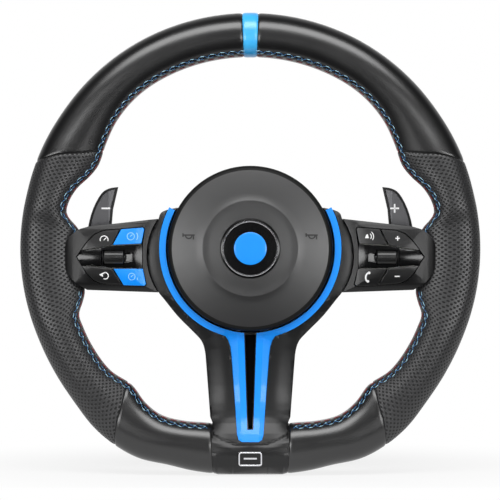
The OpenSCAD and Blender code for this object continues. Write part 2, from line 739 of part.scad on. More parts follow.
// Rear cover: bowl round the hub, wings behind the pods, back of the lower spoke and the rim
WING_PLAN = [[58, -41], [84, -44.6], [104, -50], [124, -54.6], [140, -58], [152, -60.4]];
LEG_REAR = [
    [-36, -40], [-40, -60], [-47, -84], [-53, foot_z + 70], [-55.6, foot_z + 42], [-56, foot_z + 16]
];
leg_screw_y = -57;
BOWL = [[66.4, -61.7], [66, -48], [62, -36], [53, -24], [42, -15.5], [rear_hole_r + 1, -12], [rear_hole_r, -12]];
module wing_block(inset) {
    intersection() {
        front_slab(part_y - inset, -36) offset(delta = -inset) polygon(concat(
            [[50, 24]], HORN_EDGE, [POD_INNER[8]], POD_OUTER, [POD_INNER[0]], [[50, -40]]));
        plan_slab(-60, 60) polygon(concat(
            [[40, part_y - inset]], [[40, -39 - inset]],
            [for (p = WING_PLAN) [p[0], p[1] - inset]], [[152, part_y - inset]]));
    }
}
module leg_block(inset) {
    intersection() {
        front_slab(part_y - inset, -20) offset(delta = -inset)
            polygon(both_sides(concat([[66, -30]], LEG_EDGE, LEG_FOOT)));
        side_slab(-80, 80) polygon(concat(
            [[part_y - inset, -30]], [[-36 - inset, -30]],
            [for (p = LEG_REAR) [p[0] - inset, p[1]]], [[part_y - inset, foot_z + 16]]));
    }
}
module bowl_block(inset) {
    turned() polygon(concat(
        [[0, -61.7 - inset]], [for (p = BOWL) [p[0] - inset, p[1] - inset]], [[0, -12 - inset]]));
}
module rear_cover() {
    color("#1c1c1e") difference() {
        union() {
            bowl_block(0);
            wing_block(0);
            left_half() wing_block(0);
            leg_block(0);
            cap_half(false);
        }
        difference() {
            union() {
                bowl_block(rear_t);
                wing_block(rear_t);
                left_half() wing_block(rear_t);
                leg_block(rear_t);
            }
            for (a = SCREW_ANGLES)
                rod(screw_pcr * cos(a), screw_pcr * sin(a), 4.6, plate_back_y, 0);
            for (b = SPOKE_BOSSES, s = [-1, 1]) rod(s * b[0], b[1], 3.6, part_y, -30);
        }
        plan_slab(arm_z - arm_h / 2 - 0.6, arm_z + arm_h / 2 + 0.6) polygon(both_sides([
            [0, -75], [arm_bend_x - 2, -75], [arm_bend_x - 2, -62], [plate_r + 32, plate_back_y - 1.5],
            [0, plate_back_y + 0.3]]));
        rod(0, 0, cover_r - 2, -90, -58.5);
        rod(0, 0, rear_hole_r, -40, 1);
        for (a = SCREW_ANGLES) {
            rod(screw_pcr * cos(a), screw_pcr * sin(a), 1.8, -60, 1);
            rod(screw_pcr * cos(a), screw_pcr * sin(a), 3.6, -24, 1);
        }
        for (b = SPOKE_BOSSES, s = [-1, 1]) {
            rod(s * b[0], b[1], 1.45, -70, 1);
            rod(s * b[0], b[1], 2.9, leg_screw_y, 1);
        }
        rim_keep_out();
        left_half() rim_keep_out();
        rim_stretch(concat([[155, 0, 0]], CAP_STATIONS, [[205, 0, 0]]), 0);
    }
}
module cover_screws() {
    color("gray") {
        for (a = SCREW_ANGLES) {
            rod(screw_pcr * cos(a), screw_pcr * sin(a), 1.75, plate_y, -24);
            rod(screw_pcr * cos(a), screw_pcr * sin(a), 3.3, -24, -21.6);
        }
        for (b = SPOKE_BOSSES, s = [-1, 1]) {
            rod(s * b[0], b[1], 1.4, -71, leg_screw_y);
            rod(s * b[0], b[1], 2.6, leg_screw_y, leg_screw_y + 1.8);
        }
    }
}

// Paddles: front outline of the right-hand blade
BLADE = concat(
    curve([
        [108.2, 50.4], [115.4, 49.2], [121.8, 45], [128.5, 32.8], [132.6, 17.7], [133.6, 2], [129, -13],
        [118, -20]
    ], 3),
    [[100, -17], [86, -10.4], [paddle_x + 8, -7], [paddle_x, -7], [paddle_x, 7],
        [paddle_x + 8, 7], [104, 11.4], [113.6, 18], [112.4, 32]]);
BLADE_PLAN = [[paddle_x - 4, -37.6], [paddle_x + 8, -37.8], [96, -42.4], [116, -47], [136, -49.6]];
module blade_layer(front_shift, back_shift) {
    plan_slab(-60, 60) polygon(concat(
        [for (p = BLADE_PLAN) [p[0], p[1] + front_shift]],
        [for (i = [len(BLADE_PLAN) - 1:-1:0]) [BLADE_PLAN[i][0], BLADE_PLAN[i][1] + back_shift]]));
}
module paddle() {
    color("#161617") difference() {
        union() {
            intersection() {
                front_slab(-60, -30) polygon(BLADE);
                blade_layer(0, paddle_t);
            }
            translate([paddle_x, pin_y, -7.4]) cylinder(r = 3.6, h = 14.8, $fn = 48);
        }
        translate([paddle_x, pin_y, -12]) cylinder(r = paddle_pin_r + run_gap, h = 24, $fn = 48);
        intersection() {
            front_slab(-60, -30) face_outline();
            blade_layer(-1, face_t - 0.3);
        }
    }
}
module face_outline() {
    intersection() {
        offset(delta = -1.8) polygon(BLADE);
        translate([92, -30]) square([60, 100]);
    }
}
module paddle_face() {
    color("#6c6d70") intersection() {
        front_slab(-60, -30) face_outline();
        blade_layer(-0.3, face_t - 0.3);
    }
}
module paddle_bracket() {
    color("#2a2a2c") difference() {
        union() {
            translate([paddle_x - 6, -46, -12]) cube([12, 4.6, 24]);
            for (z = [-12, 7.8])
                plan_slab(z, z + 4.2) polygon([
                    [paddle_x - 6, -44], [paddle_x + 6, -44], [paddle_x + 4, pin_y + 3],
                    [paddle_x, pin_y + 4.4], [paddle_x - 4, pin_y + 3]
                ]);
        }
        wing_block(0);
        bowl_block(0);
        translate([paddle_x, pin_y, -13]) cylinder(r = paddle_pin_r, h = 26, $fn = 48);
    }
}
module paddle_pin() {
    color("gray") translate([paddle_x, pin_y, -12]) cylinder(r = paddle_pin_r, h = 24, $fn = 48);
}

// Airbag module
crown_y = cover_edge_y - cover_crown;
face_r = cover_r - 4.2;
emblem_sink = 1.5;
emblem_flat_r = emblem_r - 3;
disc_r = 13.1;
ridge_r = 38.4;
ridge_w = 6.5;
ridge_h = 0.55;
function crown_depth(r) = crown_y + cover_crown * 0.86 * pow(r / face_r, 2)
    - ridge_h * pow(max(0, 1 - abs(r - ridge_r) / ridge_w), 2);
CROWN_STEPS = [0, 0.4, 0.5, 0.56, 0.614, 0.67, 0.73, 0.86, 1];
function crown_line(shift) = [for (t = CROWN_STEPS) [face_r * t, crown_depth(face_r * t) + shift]];
EDGE_LINE = arc(face_r, cover_edge_y + 3.4, 4.2, -90, 0, 4);
module airbag_cover() {
    color("#2e2e30") difference() {
        turned() polygon(concat(
            crown_line(0), EDGE_LINE,
            [[cover_r, cover_back_y], [cover_r - cover_t, cover_back_y]],
            [[cover_r - cover_t, cover_edge_y + 6.2], [face_r - 1.5, cover_edge_y + 3]],
            [for (i = [len(CROWN_STEPS) - 2:-1:0]) crown_line(cover_t)[i]]));
        rod(0, 0, emblem_r + 0.1, -120, crown_y + emblem_sink);
    }
}
module emblem_base() {
    color("#0b0b0d") turned() polygon([
        [0, crown_y - 0.6], [emblem_flat_r, crown_y - 0.2], [emblem_r - 1, crown_y - 0.2],
        [emblem_r, crown_y + 0.6], [emblem_r, crown_y + emblem_sink], [0, crown_y + emblem_sink]
    ]);
}
module emblem_ring() {
    color("#d8d8dc") turned() translate([emblem_flat_r + 0.4, crown_y - 0.9]) square([1.2, 0.7]);
}
module emblem_disc() {
    color("#1e90ff") turned() polygon([
        [0, crown_y - 1.2], [disc_r - 1.5, crown_y - 1.1], [disc_r, crown_y - 0.9],
        [disc_r, crown_y - 0.6 + 0.4 * disc_r / emblem_flat_r], [0, crown_y - 0.6]
    ]);
}
tray_t = 2;
module airbag_tray() {
    color("silver") difference() {
        turned() polygon([
            [30.6, cover_back_y], [59, cover_back_y], [59, cover_back_y - 8], [61, cover_back_y - 8],
            [61, cover_back_y], [64.2, cover_back_y], [64.2, cover_back_y + tray_t],
            [30.6, cover_back_y + tray_t]
        ]);
        for (a = [45:90:315]) rod(45 * cos(a), 45 * sin(a), 2.5, -80, -50);
    }
}
module gas_generator() {
    color("gray") turned() polygon([
        [0, cover_back_y - 20], [27, cover_back_y - 20], [30, cover_back_y - 18],
        [30, cover_back_y - 2], [38, cover_back_y - 2], [38, cover_back_y], [30, cover_back_y],
        [30, cover_back_y + 6], [27, cover_back_y + 8], [0, cover_back_y + 8]
    ]);
}
module bag_retainer() {
    color("silver") union() {
        turned() translate([38.3, cover_back_y - 1.6]) square([18, 1.6]);
        for (a = [45:90:315]) rod(45 * cos(a), 45 * sin(a), 2.5, cover_back_y - 1, cover_back_y + 5.5);
    }
}
module retainer_nuts() {
    color("gray") for (a = [45:90:315]) difference() {
        translate([45 * cos(a), cover_back_y + tray_t + 4, 45 * sin(a)]) rotate([90, 0, 0])
            cylinder(r = 4.4, h = 4, $fn = 6);
        rod(45 * cos(a), 45 * sin(a), 2.5, -80, -50);
    }
}
PLEATS = [for (i = [0:8]) [58 - 3.2 * i, cover_back_y - 20.6 + (i % 2 == 0 ? 2.4 : 0) - 0.25 * i]];
module folded_airbag() {
    color("whitesmoke") turned() polygon(concat(
        [[31.4, cover_back_y - 2.3], [58, cover_back_y - 2.3]], PLEATS, [[31.4, cover_back_y - 22]]));
}
module guide_pins() {
    color("gray") for (a = PIN_ANGLES) {
        rod(guide_pcr * cos(a), guide_pcr * sin(a), 2.9, cover_back_y + tray_t, plate_back_y + 2.5);
        rod(guide_pcr * cos(a), guide_pcr * sin(a), 4.6, plate_back_y + RELIEF, plate_back_y + 2.5);
    }
}

// A spring of round wire from the hub plate to the tray
SPRING_TURNS = 3.5;
SPRING_STEPS = 12;
WIRE_SIDES = 5;
function spring_point(i, k) =
    let (a = 360 * i / SPRING_STEPS)
    let (n = SPRING_TURNS * SPRING_STEPS)
    let (y = plate_y - 0.65 - (cover_set - tray_t - plate_set - 1.3) * i / n)
    let (r = 4.6 + 0.6 * cos(360 * k / WIRE_SIDES))
    [r * cos(a), y + 0.6 * sin(360 * k / WIRE_SIDES), r * sin(a)];
module horn_spring() {
    n = SPRING_TURNS * SPRING_STEPS;
    polyhedron(
        [for (i = [0:n]) for (k = [0:WIRE_SIDES - 1]) spring_point(i, k)],
        concat(
            [for (i = [0:n - 1]) for (k = [0:WIRE_SIDES - 1]) for (half = [0, 1])
                let (m = (k + 1) % WIRE_SIDES)
                let (a = i * WIRE_SIDES + k)
                let (b = i * WIRE_SIDES + m)
                let (c = (i + 1) * WIRE_SIDES + m)
                let (d = (i + 1) * WIRE_SIDES + k)
                half == 0 ? [a, c, b] : [a, d, c]],
            [[for (k = [0:WIRE_SIDES - 1]) k], [for (k = [WIRE_SIDES - 1:-1:0]) n * WIRE_SIDES + k]]));
}
module horn_springs() {
    color("gray") for (a = PIN_ANGLES)
        translate([guide_pcr * cos(a), 0, guide_pcr * sin(a)]) horn_spring();
}

armature();
hub_plate();
hub_insert();
rim_foam();
left_half() top_cover();  // top_cover_left
top_cover();  // top_cover_right
centre_band();
left_half() grip();  // grip_left
grip();  // grip_right
left_half() bottom_cover();  // bottom_cover_left
bottom_cover();  // bottom_cover_right
spoke_cover();
spoke_trim();
slot_backing();
plaque_frame();
plaque_plate();
rear_cover();
cover_screws();
left_half() switch_housing();  // switch_housing_left
switch_housing();  // switch_housing_right
left_half() roller_bezel();  // roller_bezel_left
roller_bezel();  // roller_bezel_right
left_half() roller();  // roller_left
roller();  // roller_right
left_half() roller_axle();  // roller_axle_left
roller_axle();  // roller_axle_right
left_half() point_key();  // point_key_left
point_key();  // point_key_right
color("#232325") left_half() key(UPPER_OUTER);  // upper_outer_key_left
color("#1e90ff") left_half() key(UPPER_INNER);  // upper_inner_key_left
color("#1e90ff") left_half() key(LOWER_INNER);  // lower_inner_key_left
color("#232325") left_half() key(LOWER_OUTER);  // lower_outer_key_left
color("#232325") key(UPPER_OUTER);  // upper_outer_key_right
color("#232325") key(UPPER_INNER);  // upper_inner_key_right
color("#232325") key(LOWER_INNER);  // lower_inner_key_right
color("#232325") key(LOWER_OUTER);  // lower_outer_key_right
left_half() key_mat();  // key_mat_left
key_mat();  // key_mat_right
left_half() switch_board();  // switch_board_left
switch_board();  // switch_board_right
left_half() paddle();  // paddle_left
paddle();  // paddle_right
left_half() paddle_face();  // paddle_face_left
paddle_face();  // paddle_face_right
left_half() paddle_pin();  // paddle_pin_left
paddle_pin();  // paddle_pin_right
left_half() paddle_bracket();  // paddle_bracket_left
paddle_bracket();  // paddle_bracket_right
airbag_cover();
emblem_base();
emblem_ring();
emblem_disc();
airbag_tray();
gas_generator();
bag_retainer();
retainer_nuts();
folded_airbag();
guide_pins();
horn_springs();
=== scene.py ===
"""Dresses the steering wheel: leather, stitching, lacquered trim, switches and a studio round it."""
from math import acos, asin, cos, degrees, hypot, pi, radians, sin

import bmesh
import bpy
from mathutils import Matrix, Vector
from mathutils.bvhtree import BVHTree


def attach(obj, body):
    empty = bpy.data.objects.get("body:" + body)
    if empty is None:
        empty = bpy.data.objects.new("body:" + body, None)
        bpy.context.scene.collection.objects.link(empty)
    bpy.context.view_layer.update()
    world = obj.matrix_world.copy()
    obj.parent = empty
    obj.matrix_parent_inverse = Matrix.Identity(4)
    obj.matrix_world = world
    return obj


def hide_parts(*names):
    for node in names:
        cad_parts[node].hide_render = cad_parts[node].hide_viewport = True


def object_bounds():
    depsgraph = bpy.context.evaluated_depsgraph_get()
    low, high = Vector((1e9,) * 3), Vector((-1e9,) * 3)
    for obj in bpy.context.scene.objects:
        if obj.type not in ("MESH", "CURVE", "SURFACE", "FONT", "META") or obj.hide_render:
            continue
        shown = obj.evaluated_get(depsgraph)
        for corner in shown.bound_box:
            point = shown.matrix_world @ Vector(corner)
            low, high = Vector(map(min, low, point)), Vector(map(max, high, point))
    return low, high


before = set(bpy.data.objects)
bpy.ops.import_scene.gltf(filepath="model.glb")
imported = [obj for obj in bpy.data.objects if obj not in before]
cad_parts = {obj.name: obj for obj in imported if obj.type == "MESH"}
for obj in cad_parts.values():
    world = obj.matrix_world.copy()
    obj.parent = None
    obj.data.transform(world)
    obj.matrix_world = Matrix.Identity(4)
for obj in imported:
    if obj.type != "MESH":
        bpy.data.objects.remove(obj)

bl_info = {
    "name": "Steering wheel dresser",
    "version": (1, 0, 0),
    "blender": (4, 5, 0),
    "location": "View3D > Sidebar > Steering wheel",
    "description": "Builds the leather, trim, switches and studio of a sports steering wheel",
    "category": "Object",
}

CAD_BOX = [list(corner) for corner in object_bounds()]
MM = 0.001
SIDES = (("left", -1), ("right", 1))
SPIN_STEPS = 128
UV_MM = 100  # millimetres of leather for one unit of its UV map
SHARP = 38  # degrees; edges sharper than this are rounded
FIXED = "wheel"
MODULE = "airbag_module"


# Mesh helpers

def finish_piece(name, bm, material, body, nodes=(), smooth=35):
    """Turns a bmesh into a shaded object that rides on a body and stands for CAD nodes."""
    mesh = bpy.data.meshes.new(name)
    bm.to_mesh(mesh)
    bm.free()
    mesh.shade_smooth()
    mesh.set_sharp_from_angle(angle=radians(smooth))
    mesh.materials.append(material)
    piece = bpy.data.objects.new(name, mesh)
    bpy.context.scene.collection.objects.link(piece)
    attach(piece, body)
    if nodes:
        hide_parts(*nodes)
    return piece


def welded(node):
    """A copy of a CAD node's mesh, its doubled vertices merged."""
    bm = bmesh.new()
    bm.from_mesh(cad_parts[node].data)
    bmesh.ops.remove_doubles(bm, verts=bm.verts, dist=2e-6)
    return bm


def round_edges(piece, round_mm, segments):
    """Rounds a piece's sharp edges."""
    edge = piece.modifiers.new("Rounded edges", "BEVEL")
    edge.width = round_mm * MM
    edge.segments = segments
    edge.limit_method = "ANGLE"
    edge.angle_limit = radians(SHARP)


def dress(node, material, round_mm, body, segments=2, smooth=40):
    """A rounded copy of a CAD node, standing for it."""
    bm = welded(node)
    bmesh.ops.dissolve_limit(bm, angle_limit=radians(1), verts=bm.verts, edges=bm.edges)
    piece = finish_piece("dressed_" + node, bm, material, body, [node], smooth)
    if round_mm:
        round_edges(piece, round_mm, segments)
        even = piece.modifiers.new("Even shading", "WEIGHTED_NORMAL")
        even.keep_sharp = True
    return piece


def lay_on(bm, node, lift_mm):
    """Drops flat work, drawn in the front view, onto the front of a CAD node."""
    tree_mesh = bmesh.new()
    tree_mesh.from_mesh(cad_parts[node].data)
    tree = BVHTree.FromBMesh(tree_mesh)
    for v in bm.verts:
        hit = tree.ray_cast(Vector((v.co.x, -0.2, v.co.z)), Vector((0, 1, 0)))
        if hit[0] is None:
            raise RuntimeError(f"nothing of {node} lies behind {v.co}")
        v.co.y = hit[0].y - lift_mm * MM + v.co.y
    tree_mesh.free()


def bar(bm, x, z, length, width, tilt=0.0):
    """A flat bar in the front view, in millimetres."""
    place = (Matrix.Translation((x * MM, 0, z * MM)) @ Matrix.Rotation(radians(-tilt), 4, "Y")
             @ Matrix.Diagonal((length * MM, 1, width * MM, 1)) @ Matrix.Rotation(radians(90), 4, "X"))
    bmesh.ops.create_grid(bm, x_segments=6, y_segments=2, size=0.5, matrix=place)


def bow(bm, x, z, radius, width, start, end, steps=12):
    """A flat arc in the front view: an edge spun round its centre."""
    ends = [bm.verts.new(((x + r * cos(radians(start))) * MM, 0, (z + r * sin(radians(start))) * MM))
            for r in (radius - width / 2, radius + width / 2)]
    edge = bm.edges.new(ends)
    bmesh.ops.spin(bm, geom=[*ends, edge], cent=(x * MM, 0, z * MM), axis=(0, -1, 0),
                   angle=radians(end - start), steps=steps, use_merge=False)


def dot(bm, x, z, radius):
    """A flat filled disc in the front view."""
    place = Matrix.Translation((x * MM, 0, z * MM)) @ Matrix.Rotation(radians(90), 4, "X")
    bmesh.ops.create_circle(bm, cap_ends=True, segments=10, radius=radius * MM, matrix=place)


def shape(bm, points):
    """A flat filled outline in the front view."""
    bm.faces.new([bm.verts.new((x * MM, 0, z * MM)) for x, z in points])


def printed(name, bm, material, body, node, lift_mm):
    """Lays flat artwork on a node and makes a piece of it."""
    bmesh.ops.remove_doubles(bm, verts=bm.verts, dist=1e-6)
    lay_on(bm, node, lift_mm)
    for face in bm.faces:
        face.normal_update()
        if face.normal.y > 0:
            face.normal_flip()
    return finish_piece(name, bm, material, body)


def spun(name, profile, material, body, nodes):
    """A profile, drawn as radius and depth in millimetres, spun round the steering axis."""
    bm = bmesh.new()
    verts = [bm.verts.new((r * MM, y * MM, 0)) for r, y in profile]
    edges = [bm.edges.new(pair) for pair in zip(verts, verts[1:])]
    bmesh.ops.spin(bm, geom=verts + edges, cent=(0, 0, 0), axis=(0, 1, 0), angle=2 * pi,
                   steps=SPIN_STEPS, use_merge=True)
    bmesh.ops.remove_doubles(bm, verts=bm.verts, dist=1e-6)
    bmesh.ops.recalc_face_normals(bm, faces=bm.faces)
    return finish_piece(name, bm, material, body, nodes)


# Finishes

def linear(code):
    """An sRGB hex value as linear colour."""
    parts = [int(code[i:i + 2], 16) / 255 for i in (1, 3, 5)]
    return [p / 12.92 if p <= 0.04045 else ((p + 0.055) / 1.055) ** 2.4 for p in parts] + [1.0]


def add(tree, kind, links=None, operation=None, **values):
    """Adds a shader node, sets its sockets' values, and links sockets from other nodes."""
    node = tree.nodes.new(kind)
    if operation:
        node.operation = operation
    for name, value in values.items():
        node.inputs[name.replace("_", " ")].default_value = value
    for name, source in (links or {}).items():
        tree.links.new(source, node.inputs[name])
    return node


def finish(name, colour, roughness, metallic=0.0, **sockets):
    """A new material with its surface shader; returns the material, its tree and the shader."""
    material = bpy.data.materials.new(name)
    material.use_nodes = True
    tree = material.node_tree
    shader = tree.nodes["Principled BSDF"]
    shader.inputs["Base Color"].default_value = linear(colour)
    shader.inputs["Roughness"].default_value = roughness
    shader.inputs["Metallic"].default_value = metallic
    for key, value in sockets.items():
        shader.inputs[key.replace("_", " ")].default_value = value
    return material, tree, shader


def shade_range(tree, source, dark, light, low=0.0, high=1.0):
    """Colours a pattern between two sRGB values."""
    node = add(tree, "ShaderNodeValToRGB", {"Fac": source})
    for element, place, colour in zip(node.color_ramp.elements, (low, high), (dark, light)):
        element.position = place
        element.color = linear(colour)
    return node.outputs["Color"]


def roughness_range(tree, source, low, high):
    """Spreads a pattern over a span of roughness."""
    return add(tree, "ShaderNodeMapRange", {"Value": source}, To_Min=low, To_Max=high).outputs["Result"]


def joined(tree, a, b, operation="ADD"):
    """Two number sockets joined by a sum or another operation."""
    return add(tree, "ShaderNodeMath", {0: a, 1: b}, operation).outputs[0]


def raise_surface(tree, shader, source, height_mm, strength):
    """Bumps the surface by a pattern of a real height."""
    bump = add(tree, "ShaderNodeBump", {"Height": source}, Strength=strength, Distance=height_mm * MM)
    tree.links.new(bump.outputs["Normal"], shader.inputs["Normal"])


def grain(tree, size_mm):
    """A leather grain whose cells have a real size."""
    place = add(tree, "ShaderNodeTexCoord")
    cells = add(tree, "ShaderNodeTexVoronoi", {"Vector": place.outputs["Object"]}, Scale=1 / (size_mm * MM))
    cells.feature = "SMOOTH_F1"
    cells.inputs["Smoothness"].default_value = 0.4
    return cells.outputs["Distance"]


def clouds(tree, size_mm, detail=3.0):
    """A soft uneven pattern of a real size."""
    place = add(tree, "ShaderNodeTexCoord")
    noise = add(tree, "ShaderNodeTexNoise", {"Vector": place.outputs["Object"]}, Scale=1 / (size_mm * MM),
                Detail=detail)
    return noise.outputs["Fac"]


def smooth_leather(name, dark, light):
    """Nappa, finished with a satin top coat: a soft broad sheen and a fine grain."""
    material, tree, shader = finish(name, light, 0.29, Specular_IOR_Level=0.85)
    tone = clouds(tree, 24)
    tree.links.new(shade_range(tree, tone, dark, light, 0.35, 0.65), shader.inputs["Base Color"])
    tree.links.new(roughness_range(tree, tone, 0.26, 0.32), shader.inputs["Roughness"])
    raise_surface(tree, shader, grain(tree, 0.9), 0.02, 0.4)
    return material


HOLE_PITCH, HOLE_EDGE = 2.8, (0.24, 0.36)  # millimetres; the edge as shares of the pitch


def perforated_leather(name, dark, light):
    """Nappa punched with rows of round holes that run at 45 degrees."""
    material, tree, shader = finish(name, light, 0.42, Specular_IOR_Level=0.8)
    place = add(tree, "ShaderNodeUVMap")
    turned = add(tree, "ShaderNodeMapping", {"Vector": place.outputs["UV"]}, Rotation=(0, 0, radians(45)),
                 Scale=(UV_MM / HOLE_PITCH, UV_MM / HOLE_PITCH, 1))
    holes = add(tree, "ShaderNodeTexVoronoi", {"Vector": turned.outputs["Vector"]}, Scale=1, Randomness=0)
    holes.voronoi_dimensions = "2D"
    edge = add(tree, "ShaderNodeMapRange", {"Value": holes.outputs["Distance"]}, From_Min=HOLE_EDGE[0],
               From_Max=HOLE_EDGE[1])
    edge.interpolation_type = "SMOOTHSTEP"
    tree.links.new(shade_range(tree, edge.outputs["Result"], dark, light), shader.inputs["Base Color"])
    tree.links.new(roughness_range(tree, edge.outputs["Result"], 0.9, 0.4), shader.inputs["Roughness"])
    raise_surface(tree, shader, edge.outputs["Result"], 0.35, 0.8)
    return material


def moulded(name, colour, roughness, size_mm, height_mm, shine=0.5):
    """A moulded surface with a spark-eroded grain."""
    material, tree, shader = finish(name, colour, roughness, Specular_IOR_Level=shine)
    pattern = clouds(tree, size_mm, detail=2)
    tree.links.new(roughness_range(tree, pattern, roughness - 0.05, roughness + 0.05),
                   shader.inputs["Roughness"])
    raise_surface(tree, shader, pattern, height_mm, 0.5)
    return material


def lacquered(name, colour, coat=0.3, roughness=0.38, shine=0.4):
    """Painted plastic under clear lacquer: an even colour with a sharp reflection over it."""
    material, tree, shader = finish(name, colour, roughness, Coat_Weight=coat, Coat_Roughness=0.1,
                                    Specular_IOR_Level=shine)
    tree.links.new(roughness_range(tree, clouds(tree, 6), roughness - 0.03, roughness + 0.03),
                   shader.inputs["Roughness"])
    raise_surface(tree, shader, clouds(tree, 1.4), 0.004, 0.3)
    return material


def metal(name, colour, roughness, along=(1, 1, 1), size_mm=0.6, height_mm=0.01):
    """Metal with the fine uneven marks of its finishing."""
    material, tree, shader = finish(name, colour, roughness, 1.0)
    place = add(tree, "ShaderNodeTexCoord")
    stretch = add(tree, "ShaderNodeMapping", {"Vector": place.outputs["Object"]}, Scale=along)
    marks = add(tree, "ShaderNodeTexNoise", {"Vector": stretch.outputs["Vector"]}, Scale=1 / (size_mm * MM))
    tree.links.new(roughness_range(tree, marks.outputs["Fac"], roughness - 0.06, roughness + 0.06),
                   shader.inputs["Roughness"])
    raise_surface(tree, shader, marks.outputs["Fac"], height_mm, 0.5)
    return material


def thread(name, colour):
    """Polyester sewing thread, twisted, with a slight sheen."""
    material, tree, shader = finish(name, colour, 0.55, Sheen_Weight=0.2)
    raise_surface(tree, shader, clouds(tree, 0.4), 0.05, 0.6)
    return material


def paint(name, colour, roughness=0.5):
    """Printed ink or pad paint on a switch."""
    material, tree, shader = finish(name, colour, roughness)
    raise_surface(tree, shader, clouds(tree, 0.5), 0.01, 0.3)
    return material


FINISHES = {}


def use(name):
    """A finish by its name, made when it is first asked for."""
    look = bpy.context.scene.wheel_look
    if name not in FINISHES:
        hexed = {key: "#%02x%02x%02x" % tuple(round(c * 255) for c in getattr(look, key))
                 for key in ("leather", "trim_blue", "band_blue", "plastic", "face")}
        recipes = {
            "smooth leather": lambda: smooth_leather("Nappa leather, satin", "#09090a", hexed["leather"]),
            "perforated leather":
                lambda: perforated_leather("Nappa leather, perforated", "#000000", "#1c1c1e"),
            "blue leather":
                lambda: smooth_leather("Nappa leather, dyed blue", "#2f9fe8", hexed["band_blue"]),
            "foam": lambda: moulded("Polyurethane foam, moulded", "#0c0c0d", 0.85, 0.8, 0.1),
            "airbag face":
                lambda: moulded("Thermoplastic elastomer, grained", hexed["face"], 0.37, 0.8, 0.06, 1.0),
            "satin black": lambda: moulded("ABS, satin black", hexed["plastic"], 0.34, 0.5, 0.01, 0.45),
            "housing black": lambda: moulded("ABS, fine grain", "#070708", 0.36, 0.5, 0.012, 0.42),
            "key black": lambda: moulded("Polycarbonate, soft-touch paint", "#0b0b0c", 0.34, 0.4, 0.01, 0.6),
            "piano black": lambda: lacquered("ABS, piano black", "#040405", 0.25, 0.2, 0.35),
            # A darker, matter copy of the airbag face's elastomer for the cover's outer side wall: painted
            # shade
            "side painted shade":
                lambda: moulded("Thermoplastic elastomer, side darkened as painted shade", "#050505", 0.6, 0.8, 0.04, 0.25),
            "blade black": lambda: moulded("Polyamide, satin black", "#050506", 0.45, 0.5, 0.01, 0.3),
            "slot black": lambda: moulded("ABS, matt black", "#020202", 0.8, 0.6, 0.01, 0.05),
            "blue trim": lambda: lacquered("ABS, blue lacquer", hexed["trim_blue"]),
            "blue key": lambda: lacquered("Polycarbonate, blue paint", hexed["trim_blue"], 0.15, 0.42),
            "satin chrome": lambda: metal("Satin chrome plate", "#e4e4e8", 0.2),
            "paddle face": lambda: metal("Aluminium, dark anodised", "#5c5c5e", 0.42, (1, 1, 0.06)),
            "zinc steel": lambda: metal("Steel, zinc plated", "#b9bbb8", 0.34),
            "cast alloy": lambda: metal("Magnesium alloy, die cast", "#a9abad", 0.5, (1, 1, 1), 1.2, 0.08),
            "machined steel": lambda: metal("Steel, turned", "#9b9c9e", 0.3, (1, 8, 1)),
            "silicone": lambda: moulded("Silicone rubber", "#8f8f8a", 0.6, 1.0, 0.02),
            "board": lambda: lacquered("Circuit board, solder mask", "#1f5c38", 0.3, 0.4),
            "cloth": lambda: moulded("Polyamide airbag cloth", "#dcdcd6", 0.85, 0.5, 0.1),
            "thread blue": lambda: thread("Polyester thread, blue", "#2c6496"),
            "thread pale": lambda: thread("Polyester thread, pale blue", "#93bccf"),
            "thread red": lambda: thread("Polyester thread, red", "#86222c"),
            "white ink": lambda: paint("Ink, white", "#e6e6e6"),
            "black ink": lambda: paint("Moulded mark, dark", "#0d0d0e"),
            "pale ink": lambda: paint("Ink, pale blue", "#8ec8f4"),
        }
        FINISHES[name] = recipes[name]()
    return FINISHES[name]


# The rim's shape: clock angle, extra radius, extra width and thinning, as in the part's source

RIM_R, RIM_W, RIM_D, RIM_Y, LEATHER = 186.3, 35.8, 34.0, -72.0, 1.6
RISE, FLAT, THUMB, LOWER, CORNER = 4.5, 4.3, 11.5, 10.5, 7.0
RIM_ROWS = [
    (0, RISE, 0, 0), (25, RISE - 0.3, 0, 0), (36, RISE - 1, 0.05 * THUMB, 0.03),
    (46, 0.55 * RISE, 0.3 * THUMB, 0.12), (54, 0.35 * RISE, 0.68 * THUMB, 0.22),
    (61, 0.27 * RISE, THUMB, 0.3), (66, 0.2 * RISE, 0.76 * THUMB, 0.25),
    (71, 0.1 * RISE, 0.2 * THUMB, 0.1), (76, 0, -1.4, 0), (79.5, 0, -0.4, 0.04),
    (84, 0, 11, 0.38), (94, 0, 12, 0.42), (104, 0, 12.4, 0.38), (107.4, 0, 8.6, 0.24),
    (111, 0, 2, 0.05), (115, 0.2, 1.2, 0), (122, 1, 1.2, 0), (131, 0.4 * CORNER, 0.3 * LOWER, 0.05),
    (139, 0.88 * CORNER, LOWER, 0.2), (146, CORNER, 0.62 * LOWER, 0.12),
    (152, 0.84 * CORNER, 0.36 * LOWER, 0.04), (159, 0.16 * CORNER, 0.22 * LOWER, 0),
    (165, -0.1 * FLAT, 4.4, 0), (171, -0.45 * FLAT, 4.6, 0), (180, -FLAT, 4.2, 0),
]


def row_slope(i, k):
    """Slope of a rim value at a row."""
    if i in (0, len(RIM_ROWS) - 1):
        return 0.0
    return (RIM_ROWS[i + 1][k] - RIM_ROWS[i - 1][k]) / (RIM_ROWS[i + 1][0] - RIM_ROWS[i - 1][0])


def row_value(angle, k):
    """A rim value at a clock angle, on a smooth line through the rows."""
    i = max(n for n, row in enumerate(RIM_ROWS[:-1]) if row[0] <= angle)
    h = RIM_ROWS[i + 1][0] - RIM_ROWS[i][0]
    t = (angle - RIM_ROWS[i][0]) / h
    return ((2 * t ** 3 - 3 * t * t + 1) * RIM_ROWS[i][k] + (t ** 3 - 2 * t * t + t) * h * row_slope(i, k)
            + (3 * t * t - 2 * t ** 3) * RIM_ROWS[i + 1][k] + (t ** 3 - t * t) * h * row_slope(i + 1, k))


